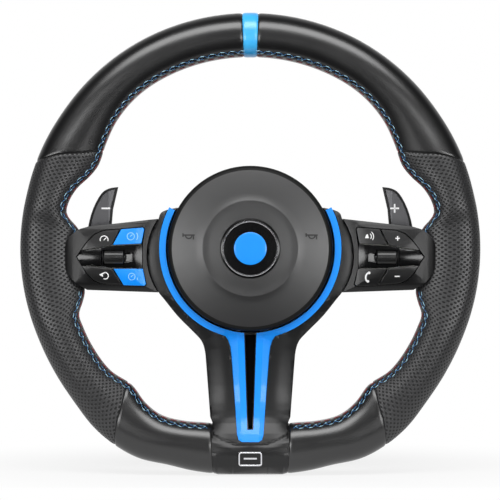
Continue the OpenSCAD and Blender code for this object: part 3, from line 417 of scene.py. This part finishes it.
SQUARING = 0.88  # 1 would leave the section an ellipse


def rounded(v):
    """Squares a section off a little."""
    return abs(v) ** SQUARING * (1 if v >= 0 else -1)


def rim_point(angle, turn, grow):
    """A point of the rim's surface; turn 0 is its outer side, 90 its front, 180 its inner side."""
    a = abs(angle)
    a = 360 - a if a > 180 else a
    width = RIM_W + row_value(a, 2)
    across, deep = cos(radians(turn)), sin(radians(turn))
    r = RIM_R + row_value(a, 1) - width / 2 + (width / 2 + grow - LEATHER) * rounded(across)
    thin = 1 - row_value(a, 3) * (1 - across) / 2
    y = RIM_Y - (RIM_D / 2 + grow - LEATHER) * thin * rounded(deep)
    return Vector((r * sin(radians(angle)), y, r * cos(radians(angle)))) * MM


def turn_at(angle, inset):
    """Turn of the section at a distance in from the rim's inner edge, in millimetres."""
    half = (RIM_W + row_value(angle, 2)) / 2
    return 180 - degrees(acos((1 - inset / half) ** (1 / SQUARING)))


BAND_A = degrees(asin(13 / 2 / (RIM_R + RISE)))
TOP_SEAM, LOW_SEAM, CAP_SEAM = (62.2, 5.7), (141.5, 3.9), (169.1, 1.6)
SKEW_REACH = 22  # degrees from a seam at which the section stands straight again
SECTION, CORE_R, GIRTH = 56, 172, 108  # points round the section, its mean radius and its way round
# The leather's turned edge: degrees in from the seam, and height over the surface in millimetres
TUCK = ((0, -0.85), (0.12, -0.55), (0.3, -0.28), (0.55, -0.1), (0.9, 0))
RING_STEP, FIRST_RING = 1.1, 1.2  # degrees from ring to ring, and from the seam to the first even one


def skew_at(angle, seams):
    """How far the section leans at a clock angle: fully at a seam, fading out beside it."""
    return sum(skew * max(0.0, 1 - abs(angle - at) / SKEW_REACH) ** 1.5 for at, skew in seams)


def leather_panel(name, start, end, seams, finish_name, node, sign, extra=0.0):
    """A leather panel: a ring of edges extruded along the rim, its ends turned under at the seams."""
    bm = bmesh.new()
    uv = bm.loops.layers.uv.new("UVMap")
    tuck = [(0, -LEATHER - extra + 0.1), *TUCK]
    count = max(6, round((end - start) / RING_STEP))
    inner = [(start + FIRST_RING + (end - start - 2 * FIRST_RING) * i / count, 0) for i in range(count + 1)]
    stations = ([(start + a, d) for a, d in tuck] + inner
                + [(end - a, d) for a, d in reversed(tuck)])
    rings = []
    for a, sink in stations:
        lean = skew_at(a, seams)
        ring = []
        for k in range(SECTION):
            turn = 360 * k / SECTION
            at = a + lean * cos(radians(turn))
            co = rim_point(at, turn, LEATHER + extra + sink)
            ring.append((Vector((sign * co.x, co.y, co.z)), at, k))
        rings.append(ring)
    verts = [bm.verts.new(p[0]) for p in rings[0]]
    edges = [bm.edges.new((verts[k], verts[(k + 1) % SECTION])) for k in range(SECTION)]
    along = {v: (rings[0][k][1], k) for k, v in enumerate(verts)}
    for ring in rings[1:]:
        made = bmesh.ops.extrude_edge_only(bm, edges=edges)["geom"]
        fresh = [v for v in made if isinstance(v, bmesh.types.BMVert)]
        order = {}
        for v in fresh:
            old = next(e.other_vert(v) for e in v.link_edges if e.other_vert(v) in along)
            order[along[old][1]] = v
        for k in range(SECTION):
            order[k].co = ring[k][0]
        along.update({order[k]: (ring[k][1], k) for k in range(SECTION)})
        edges = [e for e in made if isinstance(e, bmesh.types.BMEdge)
                 and e.verts[0] in fresh and e.verts[1] in fresh]
    for face in bm.faces:
        ks = [along[loop.vert][1] for loop in face.loops]
        for loop in face.loops:
            a, k = along[loop.vert]
            k = k + SECTION if max(ks) - k > SECTION / 2 else k
            loop[uv].uv = (radians(a) * CORE_R / UV_MM, k / SECTION * GIRTH / UV_MM)
    bmesh.ops.recalc_face_normals(bm, faces=bm.faces)
    return finish_piece(name, bm, use(finish_name), FIXED, [node], 50)


# Crowned fronts, bent from the flat ones of the solids

def smooth_line(points, n):
    """A smooth line through given points, n steps to each span."""
    pts = [Vector(p) for p in points]
    pts = [2 * pts[0] - pts[1], *pts, 2 * pts[-1] - pts[-2]]
    line = []
    for i in range(1, len(pts) - 2):
        a, b, c, d = pts[i - 1:i + 3]
        for j in range(n):
            t = j / n
            line.append(0.5 * (2 * b + (c - a) * t + (2 * a - 5 * b + 4 * c - d) * t * t
                               + (3 * b - a - 3 * c + d) * t ** 3))
    return line + [pts[-2]]


FOOT_Z = FLAT - RIM_R
SPOKE_FRONT = smooth_line([
    (-77, 40), (-79.6, 22), (-80.6, 0), (-80.6, -40), (-80, -70), (-78.6, -95), (-78.8, FOOT_Z + 64),
    (-82, FOOT_Z + 46), (-87.4, FOOT_Z + 33), (-90.8, FOOT_Z + 22), (-91.2, FOOT_Z + 16)], 3)
POD_ARC_X, POD_ARC_Z, POD_ARC_R = 30.5, -5.5, 52.6  # the arc where the cover meets a pod
POD_SIDE_LINE = [(POD_ARC_X + POD_ARC_R * cos(radians(a)), POD_ARC_Z + POD_ARC_R * sin(radians(a)))
                 for a in (26 - 7.25 * i for i in range(9))]
SPOKE_EDGE = ([(58, 33.2), (66, 31.6), (72.2, 28.8), (74.3, 23.4)] + POD_SIDE_LINE + [
    (73.4, -36.4), (69, -41.7), (58.6, -54.7), (45.8, -67.6), (39.4, -74.8), (36.7, -83), (35.7, -93),
    (32.4, FOOT_Z + 46), (30.6, FOOT_Z + 41.6), (30, FOOT_Z + 32), (29.4, FOOT_Z + 18)])


def along_line(line, at, key, value):
    """Reads a line of points: the value where the key column has a given number."""
    for a, b in zip(line, line[1:]):
        if min(a[key], b[key]) <= at <= max(a[key], b[key]) and a[key] != b[key]:
            return a[value] + (b[value] - a[value]) * (at - a[key]) / (b[key] - a[key])
    return line[0][value] if abs(at - line[0][key]) < abs(at - line[-1][key]) else line[-1][value]


def edge_distance(x, z, line):
    """Distance in millimetres from a place in the front view to a line of points."""
    best = 1000.0
    for a, b in zip(line, line[1:]):
        dx, dz = b[0] - a[0], b[1] - a[1]
        t = max(0.0, min(1.0, ((x - a[0]) * dx + (z - a[1]) * dz) / (dx * dx + dz * dz)))
        best = min(best, hypot(x - a[0] - t * dx, z - a[1] - t * dz))
    return best


def cut(bm, point, across):
    """Cuts all faces of a mesh along a plane and keeps both halves."""
    bmesh.ops.bisect_plane(bm, geom=bm.verts[:] + bm.edges[:] + bm.faces[:], dist=1e-7, plane_co=point,
                           plane_no=across)


def sliced(bm, axis, places):
    """Cuts a mesh across an axis at places in millimetres, so that its flat faces can bend."""
    across = Vector([1 if i == axis else 0 for i in range(3)])
    for place in places:
        cut(bm, across * place * MM, across)


def bend_front(bm, line, sink, reach):
    """Moves the front back by a depth that depends on the place; the move fades out behind it."""
    for v in bm.verts:
        x, y, z = (c / MM for c in v.co)
        behind = max(0.0, y - along_line(line, z, 1, 0) - 0.3)
        v.co.y += sink(abs(x), z) * max(0.0, 1 - behind / reach) * MM


def ramp(value, start, length):
    """Rises from 0 at a start to 1 over a length."""
    return max(0.0, min(1.0, (value - start) / length))


CREASE_MID_Z, CREASE_RISE = -158, 8.4
GROOVE_DEPTH, GROOVE_WIDTH = 1.1, 7


def spoke_sink(x, z):
    """How far the spoke cover's front falls away towards its edge, and below its lower crease."""
    leg = ramp(-z, 38, 26)  # 0 beside the airbag, 1 down the leg
    depth = 1.0 + 3.2 * leg * ramp(z, -156, 14)
    wide = 9 + 7 * leg
    crown_sink = depth * max(0.0, 1 - edge_distance(x, z, SPOKE_EDGE) / wide) ** 2
    below = CREASE_MID_Z + CREASE_RISE * ramp(x, 8, 22) ** 1.6 - z
    if not 0 <= below < GROOVE_WIDTH:
        return crown_sink
    return crown_sink + GROOVE_DEPTH * (1 - below / GROOVE_WIDTH) ** 2 * min(1.0, x / 14)


# Operators

class WHEEL_OT_leather(bpy.types.Operator):
    """Wraps the rim in its leather panels and the centre band"""
    bl_idname = "wheel.leather"
    bl_label = "Rim leather"

    def execute(self, context):
        for side, sign in SIDES:
            leather_panel(f"top_leather_{side}", BAND_A, TOP_SEAM[0], [TOP_SEAM], "smooth leather",
                          f"top_cover_{side}", sign)
            leather_panel(f"grip_leather_{side}", TOP_SEAM[0], LOW_SEAM[0], [TOP_SEAM, LOW_SEAM],
                          "perforated leather", f"grip_{side}", sign)
            leather_panel(f"bottom_leather_{side}", LOW_SEAM[0], CAP_SEAM[0], [LOW_SEAM, CAP_SEAM],
                          "smooth leather", f"bottom_cover_{side}", sign)
        leather_panel("blue_centre_band", -BAND_A, BAND_A, [], "blue leather", "centre_band", 1, 0.2)
        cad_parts["rim_foam"].data.materials.clear()
        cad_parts["rim_foam"].data.materials.append(use("foam"))
        return {"FINISHED"}


# Each stitch of a pitch by colour: its start and its end, as a share of the pitch and an inset in mm
STITCHES = {
    "pale": [((0, 4.3), (0.46, 4.7)), ((0.5, 2.6), (0.8, 2.9))],
    "blue": [((0.44, 4.5), (0.76, 3.0)), ((0.76, 2.9), (1.0, 4.3)), ((0.1, 2.5), (0.5, 2.8))],
    "red": [((0.05, 0.8), (0.8, 0.9))],
}
SEWN = ((1.5, 91), (104, 167))  # clock angles; the pods' arms lie between
SEWN_R = 150  # radius at which the pitch is measured


def stitch(bm, start, end, thickness):
    """One stitch: a low six-sided capsule between two points."""
    along = end - start
    turn = along.to_track_quat("Z", "Y").to_matrix().to_4x4()
    size = Matrix.Diagonal((thickness / 2, thickness / 2, along.length / 2, 1))
    bmesh.ops.create_uvsphere(bm, u_segments=6, v_segments=4, radius=1,
                              matrix=Matrix.Translation((start + end) / 2) @ turn @ size)


def sewn_point(sign, angle, inset):
    """A point of the seam, just proud of the leather, at an inset from the rim's inner edge."""
    p = rim_point(angle, turn_at(angle, inset), LEATHER + 0.15)
    return Vector((sign * p.x, p.y, p.z))


class WHEEL_OT_stitching(bpy.types.Operator):
    """Sews the leather along the rim's inner edge"""
    bl_idname = "wheel.stitching"
    bl_label = "Stitching"

    def execute(self, context):
        look = context.scene.wheel_look
        pitch = degrees(look.stitch_pitch / (SEWN_R * MM))
        starts = [(sign, start + n * pitch) for _, sign in SIDES for start, end in SEWN
                  for n in range(int((end - start) / pitch))]
        for shade, stitches in STITCHES.items():
            bm = bmesh.new()
            for sign, angle in starts:
                for ends in stitches:
                    stitch(bm, *(sewn_point(sign, angle + share * pitch, inset) for share, inset in ends),
                           look.thread_width)
            finish_piece(f"stitching_{shade}", bm, use(f"thread {shade}"), FIXED, smooth=80)
        return {"FINISHED"}


class WHEEL_OT_spoke_cover(bpy.types.Operator):
    """Dresses the spoke cover and the rear cover"""
    bl_idname = "wheel.spoke_cover"
    bl_label = "Spoke and rear covers"

    def execute(self, context):
        bm = welded("spoke_cover")
        columns = (2, 6, 10, *range(13, 34, 2), 36, *range(40, 66, 5), *range(69, 82, 3))
        sliced(bm, 0, [sign * x for x in columns for _, sign in SIDES])
        sliced(bm, 2, [*range(-146, 36, 4), *(-145 - 0.9 * n for n in range(24))])
        bend_front(bm, SPOKE_FRONT, spoke_sink, 9)
        finish_piece("dressed_spoke_cover", bm, use("satin black"), FIXED, ["spoke_cover"], 32)
        dress("rear_cover", use("housing black"), 0, FIXED, 1)
        return {"FINISHED"}


CREASE_TOP, CREASE_FOOT = (10.6, -66), (7.2, -150)
TRIM_PROUD, TRIM_SLOPE = 0.4, 0.3


def trim_sink(x, z):
    """How far the trim's leg falls away outside its crease."""
    (top_x, top_z), (foot_x, foot_z) = CREASE_TOP, CREASE_FOOT
    crease = top_x + (foot_x - top_x) * (top_z - z) / (top_z - foot_z)
    return max(0.0, x - crease) * TRIM_SLOPE * ramp(-z, -top_z, 10)


class WHEEL_OT_trim(bpy.types.Operator):
    """Dresses the blue trim and the dark backing of its slot"""
    bl_idname = "wheel.trim"
    bl_label = "Trim"

    def execute(self, context):
        bm = welded("spoke_trim")
        for _, sign in SIDES:
            top, foot = (Vector((sign * x, 0, z)) * MM for x, z in (CREASE_TOP, CREASE_FOOT))
            cut(bm, top, (foot - top).cross(Vector((0, 1, 0))))
        sliced(bm, 2, range(-156, -64, 3))
        bend_front(bm, [(y - TRIM_PROUD, z) for y, z in SPOKE_FRONT], trim_sink, 4)
        piece = finish_piece("dressed_spoke_trim", bm, use("blue trim"), FIXED, ["spoke_trim"], 20)
        round_edges(piece, 0.45, 2)
        dress("slot_backing", use("slot black"), 0, FIXED, 1)
        return {"FINISHED"}


FRAME_LIFT = 0.25  # the plaque's frame stands this much prouder than its solid
PLAQUE_Z = -168.9


class WHEEL_OT_plaque(bpy.types.Operator):
    """Builds the plain plaque at 6 o'clock"""
    bl_idname = "wheel.plaque"
    bl_label = "Plaque"

    def execute(self, context):
        piece = dress("plaque_frame", use("satin chrome"), 0.25, FIXED, 2)
        for v in piece.data.vertices:
            v.co.y -= FRAME_LIFT * MM
        dress("plaque_plate", use("piano black"), 0.15, FIXED, 2)
        bm = bmesh.new()
        bar(bm, 0, PLAQUE_Z, 10.5, 1.3)
        printed("plaque_bar", bm, use("satin chrome"), FIXED, "plaque_plate", 0.05)
        return {"FINISHED"}


FACE_R, COVER_R, COVER_EDGE_Y, CROWN_Y = 62.5, 66.7, -88.0, -94.0
EDGE_ROUND, COVER_BACK_Y, WALL = 4.2, -64, 3
BOWL_DEPTH, RIDGE_R, RIDGE_HEIGHT, RIDGE_REACH = 5.16, 38.4, 0.55, 6.5
WELL_R, WELL_Y = 23.9, CROWN_Y + 1.5  # the seat of the emblem
HORN_MARK_X, HORN_MARK_Z = 49.5, 9.2


def crown(r):
    """Depth of the airbag cover's face at a radius, with its soft ridge."""
    bowl = BOWL_DEPTH * (r / FACE_R) ** 2
    ridge = RIDGE_HEIGHT * max(0.0, 1 - abs(r - RIDGE_R) / RIDGE_REACH) ** 2
    return CROWN_Y + bowl - ridge


class WHEEL_OT_airbag_cover(bpy.types.Operator):
    """Spins the airbag cover and marks the horn's places"""
    bl_idname = "wheel.airbag_cover"
    bl_label = "Airbag cover"

    def execute(self, context):
        radii = (*range(26, 33, 2), *range(33, 38), 37.8, RIDGE_R, *range(39, 46), *range(47, 57, 3), 58, 60,
                 61.4)
        edge = [(FACE_R + EDGE_ROUND * sin(radians(a)), COVER_EDGE_Y + 3.4 - EDGE_ROUND * cos(radians(a)))
                for a in range(8, 91, 8)]
        profile = [(0, WELL_Y), (WELL_R, WELL_Y), (WELL_R, crown(24) + 0.3), (24.3, crown(24.3)),
                   *((r, crown(r)) for r in radii), *edge, (COVER_R, COVER_BACK_Y),
                   (COVER_R - WALL, COVER_BACK_Y), (COVER_R - WALL, COVER_EDGE_Y + 6.2),
                   (FACE_R - 1.5, COVER_EDGE_Y + WALL), (52, crown(52) + WALL), (0, CROWN_Y + WALL)]
        piece = spun("airbag_face", profile, use("airbag face"), MODULE, ["airbag_cover"])
        # The cover's outer side wall, beyond the face, takes the darker copy: painted shade where the wall
        # turns away from the lamps
        piece.data.materials.append(use("side painted shade"))
        for polygon in piece.data.polygons:
            if hypot(polygon.center.x, polygon.center.z) > (FACE_R + 0.5) * MM:
                polygon.material_index = 1
        for side, sign in SIDES:
            bm = bmesh.new()
            x, z = sign * HORN_MARK_X, HORN_MARK_Z
            bar(bm, x, z + 1.6, 9.6, 1.0)
            bar(bm, x - 4.6, z + 1.6, 1.0, 3.0)
            bow(bm, x, z + 1.4, 2.6, 1.0, 180, 360)
            bar(bm, x + 3.8, z - 0.2, 1.0, 3.4)
            printed(f"horn_mark_{side}", bm, use("black ink"), MODULE, "airbag_cover", 0.45)
        return {"FINISHED"}


class WHEEL_OT_emblem(bpy.types.Operator):
    """Spins the plain emblem: a gloss base, a bright ring and a coloured disc"""
    bl_idname = "wheel.emblem"
    bl_label = "Emblem"

    def execute(self, context):
        y = CROWN_Y
        base = [(0, y - 0.6), (20.8, y - 0.3), (22.8, y - 0.2), (23.5, y), (23.8, y + 0.6), (23.8, y + 1.5),
                (0, y + 1.5)]
        spun("emblem_base_gloss", base, use("piano black"), MODULE, ["emblem_base"])
        ring = [(21.25, y - 0.2), (21.25, y - 0.75), (21.45, y - 0.9), (22.15, y - 0.9), (22.35, y - 0.75),
                (22.35, y - 0.2), (21.25, y - 0.2)]
        spun("emblem_ring_bright", ring, use("satin chrome"), MODULE, ["emblem_ring"])
        disc = [(0, y - 1.2), (8, y - 1.17), (11.6, y - 1.1), (12.7, y - 1.0), (13.1, y - 0.8),
                (13.1, y - 0.4), (0, y - 0.6)]
        spun("emblem_disc_blue", disc, use("blue trim"), MODULE, ["emblem_disc"])
        return {"FINISHED"}


KEYS = ("upper_outer", "upper_inner", "lower_inner", "lower_outer")
CROWN_DROP, CROWN_REACH, CROWN_ROWS = 1.2, 3.6, 14


def crowned(node, body):
    """A gloss copy of a CAD node whose front is bent to a soft crown across its height."""
    bm = welded(node)
    low, high = (pick(v.co.z for v in bm.verts) / MM for pick in (min, max))
    front = min(v.co.y for v in bm.verts) / MM
    sliced(bm, 2, [low + (high - low) * n / CROWN_ROWS for n in range(1, CROWN_ROWS)])
    for v in bm.verts:
        across = 2 * (v.co.z / MM - low) / (high - low) - 1
        fade = max(0.0, 1 - (v.co.y / MM - front) / CROWN_REACH)
        v.co.y += CROWN_DROP * across ** 2 * fade * MM
    return finish_piece("dressed_" + node, bm, use("piano black"), body, [node], 32)


class WHEEL_OT_pods(bpy.types.Operator):
    """Dresses the switch housings, bezels, rollers and pointed keys"""
    bl_idname = "wheel.pods"
    bl_label = "Switch pods"

    def execute(self, context):
        for side, _ in SIDES:
            dress(f"switch_housing_{side}", use("housing black"), 0.5, FIXED, 3)
            crowned(f"roller_bezel_{side}", FIXED)
            dress(f"roller_{side}", use("key black"), 0.15, f"roller_{side}", 1)
            crowned(f"point_key_{side}", f"point_key_{side}")
        return {"FINISHED"}


class WHEEL_OT_keys(bpy.types.Operator):
    """Dresses the keys and prints their signs"""
    bl_idname = "wheel.keys"
    bl_label = "Keys"

    def execute(self, context):
        for side, _ in SIDES:
            for key in KEYS:
                node = f"{key}_key_{side}"
                blue = side == "left" and "inner" in key
                dress(node, use("blue key" if blue else "key black"), 0.5, node, 3)
        self.signs()
        return {"FINISHED"}

    @staticmethod
    def signs():
        """Prints plain signs: plus, minus, handset, voice, gauges and arrows."""
        def put(name, node, ink, draw):
            bm = bmesh.new()
            draw(bm)
            printed(name, bm, use(ink), node, node, 0.08)

        put("sign_plus", "upper_outer_key_right", "white ink",
            lambda bm: (bar(bm, 118.5, 8.2, 3.6, 0.9), bar(bm, 118.5, 8.2, 0.9, 3.6)))
        put("sign_minus", "lower_outer_key_right", "white ink", lambda bm: bar(bm, 118.2, -22.4, 4.0, 1.0))
        put("sign_voice", "upper_inner_key_right", "white ink",
            lambda bm: (shape(bm, [(92.2, 8.3), (95.4, 8.3), (94.6, 11.6), (93.4, 11.2)]),
                        bow(bm, 94.4, 9.6, 3.0, 0.7, -35, 50, 6), bow(bm, 94.4, 9.6, 4.8, 0.7, -35, 50, 6)))
        put("sign_handset", "lower_inner_key_right", "white ink",
            lambda bm: (bow(bm, 97.4, -23.4, 4.6, 1.3, 120, 225, 8), dot(bm, 95.6, -19.6, 1.15),
                        dot(bm, 94.6, -26.4, 1.15)))
        put("sign_gauge", "upper_outer_key_left", "white ink",
            lambda bm: (bow(bm, -117.6, 7.0, 3.2, 0.7, -20, 200, 12), bar(bm, -116.8, 7.8, 3.0, 0.7, 45)))
        put("sign_back", "lower_outer_key_left", "white ink",
            lambda bm: (bow(bm, -116.8, -22.0, 2.6, 0.8, -120, 150, 12),
                        shape(bm, [(-121.6, -21.0), (-118.6, -22.8), (-118.4, -19.4)])))
        put("sign_cruise", "upper_inner_key_left", "pale ink",
            lambda bm: (bow(bm, -96.2, 9.8, 2.9, 0.6, 0, 360, 18), bar(bm, -95.8, 10.4, 2.6, 0.6, 40),
                        bow(bm, -95.0, 9.8, 4.4, 0.6, -40, 40, 6)))
        put("sign_pace", "lower_inner_key_left", "pale ink",
            lambda bm: (bow(bm, -95.4, -22.6, 2.7, 0.6, 0, 360, 18), bar(bm, -95.2, -22.2, 2.4, 0.6, 40),
                        bar(bm, -90.8, -24.4, 0.6, 2.0)))


PADDLE_SIGN_X, PADDLE_SIGN_Z, SIGN_LENGTH, SIGN_WIDTH = 118.1, 32.9, 7.2, 1.3


class WHEEL_OT_paddles(bpy.types.Operator):
    """Dresses the shift paddles and prints their signs"""
    bl_idname = "wheel.paddles"
    bl_label = "Paddles"

    def execute(self, context):
        for side, sign in SIDES:
            body = f"paddle_{side}"
            dress(f"paddle_{side}", use("blade black"), 0.6, body, 3)
            dress(f"paddle_face_{side}", use("paddle face"), 0.3, body, 2)
            bm = bmesh.new()
            bar(bm, sign * PADDLE_SIGN_X, PADDLE_SIGN_Z, SIGN_LENGTH, SIGN_WIDTH)
            if side == "right":
                bar(bm, PADDLE_SIGN_X, PADDLE_SIGN_Z, SIGN_WIDTH, SIGN_LENGTH)
            printed(f"paddle_sign_{side}", bm, use("white ink"), body, f"paddle_face_{side}", 0.08)
        return {"FINISHED"}


class WHEEL_OT_inner_works(bpy.types.Operator):
    """Gives the armature, airbag works and fasteners their metals"""
    bl_idname = "wheel.inner_works"
    bl_label = "Inner works"

    def execute(self, context):
        looks = {
            "cast alloy": ["armature", "hub_plate"],
            "machined steel": ["hub_insert", "guide_pins", "horn_springs"],
            "zinc steel": ["cover_screws", "airbag_tray", "gas_generator", "bag_retainer", "retainer_nuts"],
            "cloth": ["folded_airbag"],
        }
        for side, _ in SIDES:
            looks["machined steel"] += [f"roller_axle_{side}", f"paddle_pin_{side}"]
            looks.setdefault("housing black", []).append(f"paddle_bracket_{side}")
            looks.setdefault("silicone", []).append(f"key_mat_{side}")
            looks.setdefault("board", []).append(f"switch_board_{side}")
        for name, nodes in looks.items():
            for node in nodes:
                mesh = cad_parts[node].data
                mesh.materials.clear()
                mesh.materials.append(use(name))
        return {"FINISHED"}


def lamp(name, place, aim, width, height, glow):
    """A soft rectangular lamp; its glow is its brightness, where 1 is white paper."""
    data = bpy.data.lights.new(name, "AREA")
    data.shape = "RECTANGLE"
    data.size = width
    data.size_y = height
    data.energy = glow * pi * width * height
    ob = bpy.data.objects.new(name, data)
    bpy.context.scene.collection.objects.link(ob)
    ob.location = place
    ob.rotation_euler = (Vector(aim) - Vector(place)).to_track_quat("-Z", "Y").to_euler()


def mirrored_rays(tree, path):
    """One for glossy and transmission rays."""
    return joined(tree, path.outputs["Is Glossy Ray"], path.outputs["Is Transmission Ray"])


def white_when_seen(tree, surface, amount):
    """Mixes plain white into a surface for camera, glossy and transmission rays."""
    path = add(tree, "ShaderNodeLightPath")
    seen = joined(tree, path.outputs["Is Camera Ray"], mirrored_rays(tree, path))
    share = joined(tree, seen, amount, "MULTIPLY")
    white = add(tree, "ShaderNodeEmission")
    return add(tree, "ShaderNodeMixShader", {0: share, 1: surface, 2: white.outputs[0]}).outputs[0]


LAMPS = {  # name: place in metres, width, height, glow
    "top_softbox": ((0, -1.06, 1.0), 1.6, 0.7, 6),
    "back_softbox": ((0, 1.5, 0.7), 1.2, 0.4, 1.2),
    "left_softbox": ((-0.8, -1.4, 0.0), 1.0, 0.3, 8),
    "right_softbox": ((0.8, -1.4, 0.0), 1.0, 0.3, 8),
}
WHEEL_CENTRE = (0, RIM_Y * MM, 0)
FLOOR_GAP, FLOOR_HALF, FLOOR_Y = 0.0005, 2.5, 2.3
SHADOW_FROM, SHADOW_TO, SHADOW_WHITE = 0.15, 0.42, 0.8  # metres from the wheel; share of white under it
VIEW_X, VIEW_Z, VIEW_WIDTH = -0.00024, -0.0012, 0.405  # the photograph's middle and width at the rim


class WHEEL_OT_stage(bpy.types.Operator):
    """Sets the floor, lamps, world and camera"""
    bl_idname = "wheel.stage"
    bl_label = "Stage"

    def execute(self, context):
        self.floor(context.scene)
        self.world(context.scene)
        for name, (place, width, height, glow) in LAMPS.items():
            lamp(name, place, WHEEL_CENTRE, width, height, glow)
        self.camera(context.scene)
        context.scene.view_settings.view_transform = "Standard"
        return {"FINISHED"}

    @staticmethod
    def floor(scene):
        """Plain pale paper that holds the wheel's soft shadow and turns pure white further out."""
        bm = bmesh.new()
        bmesh.ops.create_grid(bm, x_segments=1, y_segments=1, size=FLOOR_HALF,
                              matrix=Matrix.Translation((0, FLOOR_Y, CAD_BOX[0][2] - FLOOR_GAP)))
        mesh = bpy.data.meshes.new("studio_floor")
        bm.to_mesh(mesh)
        bm.free()
        floor = bpy.data.objects.new("studio_floor", mesh)
        scene.collection.objects.link(floor)
        material, tree, shader = finish("Studio paper, white", "#f4f4f4", 0.9)
        out = next(n for n in tree.nodes if n.type == "OUTPUT_MATERIAL")
        place = add(tree, "ShaderNodeTexCoord")
        away = add(tree, "ShaderNodeVectorMath", {0: place.outputs["Object"]}, "LENGTH")
        fade = add(tree, "ShaderNodeMapRange", {"Value": away.outputs["Value"]}, From_Min=SHADOW_FROM,
                   From_Max=SHADOW_TO, To_Min=SHADOW_WHITE, To_Max=1.0)
        fade.interpolation_type = "SMOOTHSTEP"
        white = white_when_seen(tree, shader.outputs[0], fade.outputs["Result"])
        tree.links.new(white, out.inputs["Surface"])
        mesh.materials.append(material)

    @staticmethod
    def world(scene):
        """White to the camera and in mirrors that look back past the wheel, dim all round otherwise."""
        world = bpy.data.worlds.new("Studio")
        scene.world = world
        world.use_nodes = True
        tree = world.node_tree
        tree.nodes.clear()
        path = add(tree, "ShaderNodeLightPath")
        way = add(tree, "ShaderNodeTexCoord")
        parts = add(tree, "ShaderNodeSeparateXYZ", {0: way.outputs["Generated"]})
        behind = add(tree, "ShaderNodeMapRange", {"Value": parts.outputs["Y"]})
        backdrop = joined(tree, mirrored_rays(tree, path), behind.outputs["Result"], "MULTIPLY")
        seen = joined(tree, backdrop, path.outputs["Is Camera Ray"])
        level = add(tree, "ShaderNodeMapRange", {"Value": seen}, To_Min=scene.wheel_look.ambient, To_Max=1.0)
        sky = add(tree, "ShaderNodeBackground", {"Strength": level.outputs["Result"]}, Color=(1, 1, 1, 1))
        add(tree, "ShaderNodeOutputWorld", {"Surface": sky.outputs[0]})

    @staticmethod
    def camera(scene):
        """A camera straight in front, framed as the photograph is."""
        distance = scene.wheel_look.camera_distance
        camera = bpy.data.cameras.new("studio_camera")
        eye = bpy.data.objects.new("studio_camera", camera)
        scene.collection.objects.link(eye)
        eye.location = (VIEW_X, RIM_Y * MM - distance, VIEW_Z)
        eye.rotation_euler = (radians(90), 0, 0)
        camera.lens = camera.sensor_width * distance / VIEW_WIDTH
        camera.clip_end = 50
        scene.camera = eye


STEPS = (WHEEL_OT_leather, WHEEL_OT_stitching, WHEEL_OT_spoke_cover, WHEEL_OT_trim, WHEEL_OT_plaque,
         WHEEL_OT_airbag_cover, WHEEL_OT_emblem, WHEEL_OT_pods, WHEEL_OT_keys, WHEEL_OT_paddles,
         WHEEL_OT_inner_works, WHEEL_OT_stage)


class WHEEL_PG_look(bpy.types.PropertyGroup):
    """Sizes and colours that a user may change"""
    leather: bpy.props.FloatVectorProperty(
        name="Leather", description="Colour of the smooth leather", subtype="COLOR", size=3,
        default=(0.055, 0.055, 0.058), min=0, max=1)
    band_blue: bpy.props.FloatVectorProperty(
        name="Centre band", description="Colour of the band at 12 o'clock", subtype="COLOR", size=3,
        default=(0.27, 0.74, 0.98), min=0, max=1)
    trim_blue: bpy.props.FloatVectorProperty(
        name="Trim", description="Colour of the lacquered trim and keys", subtype="COLOR", size=3,
        default=(0.0, 0.56, 0.98), min=0, max=1)
    plastic: bpy.props.FloatVectorProperty(
        name="Spoke cover", description="Colour of the spoke cover", subtype="COLOR", size=3,
        default=(0.055, 0.055, 0.058), min=0, max=1)
    face: bpy.props.FloatVectorProperty(
        name="Airbag cover", description="Colour of the airbag cover", subtype="COLOR", size=3,
        default=(0.1, 0.1, 0.104), min=0, max=1)
    stitch_pitch: bpy.props.FloatProperty(
        name="Stitch pitch", description="Distance from stitch to stitch", default=0.0078, min=0.003,
        max=0.012, unit="LENGTH", precision=4)
    thread_width: bpy.props.FloatProperty(
        name="Thread width", description="Thickness of the thread", default=0.0007, min=0.0004,
        max=0.002, unit="LENGTH", precision=4)
    ambient: bpy.props.FloatProperty(
        name="Ambient light", description="Strength of the light from all round", default=0.06, min=0, max=1)
    camera_distance: bpy.props.FloatProperty(
        name="Camera distance", description="Distance from the camera to the rim", default=2.4, min=1,
        max=5, unit="LENGTH")


class WHEEL_PT_panel(bpy.types.Panel):
    """Lists the wheel's pieces in the sidebar"""
    bl_idname = "WHEEL_PT_panel"
    bl_label = "Steering wheel"
    bl_space_type = "VIEW_3D"
    bl_region_type = "UI"
    bl_category = "Steering wheel"

    def draw(self, context):
        look = context.scene.wheel_look
        for name in WHEEL_PG_look.__annotations__:
            self.layout.prop(look, name)
        for step in STEPS:
            self.layout.operator(step.bl_idname)


CLASSES = (WHEEL_PG_look, *STEPS, WHEEL_PT_panel)


def register():
    for cls in CLASSES:
        bpy.utils.register_class(cls)
    bpy.types.Scene.wheel_look = bpy.props.PointerProperty(type=WHEEL_PG_look)


def unregister():
    del bpy.types.Scene.wheel_look
    for cls in reversed(CLASSES):
        bpy.utils.unregister_class(cls)


def main():
    """Builds every piece in order."""
    register()
    for step in STEPS:
        group, name = step.bl_idname.split(".")
        getattr(getattr(bpy.ops, group), name)()


if __name__ == "__main__":
    main()
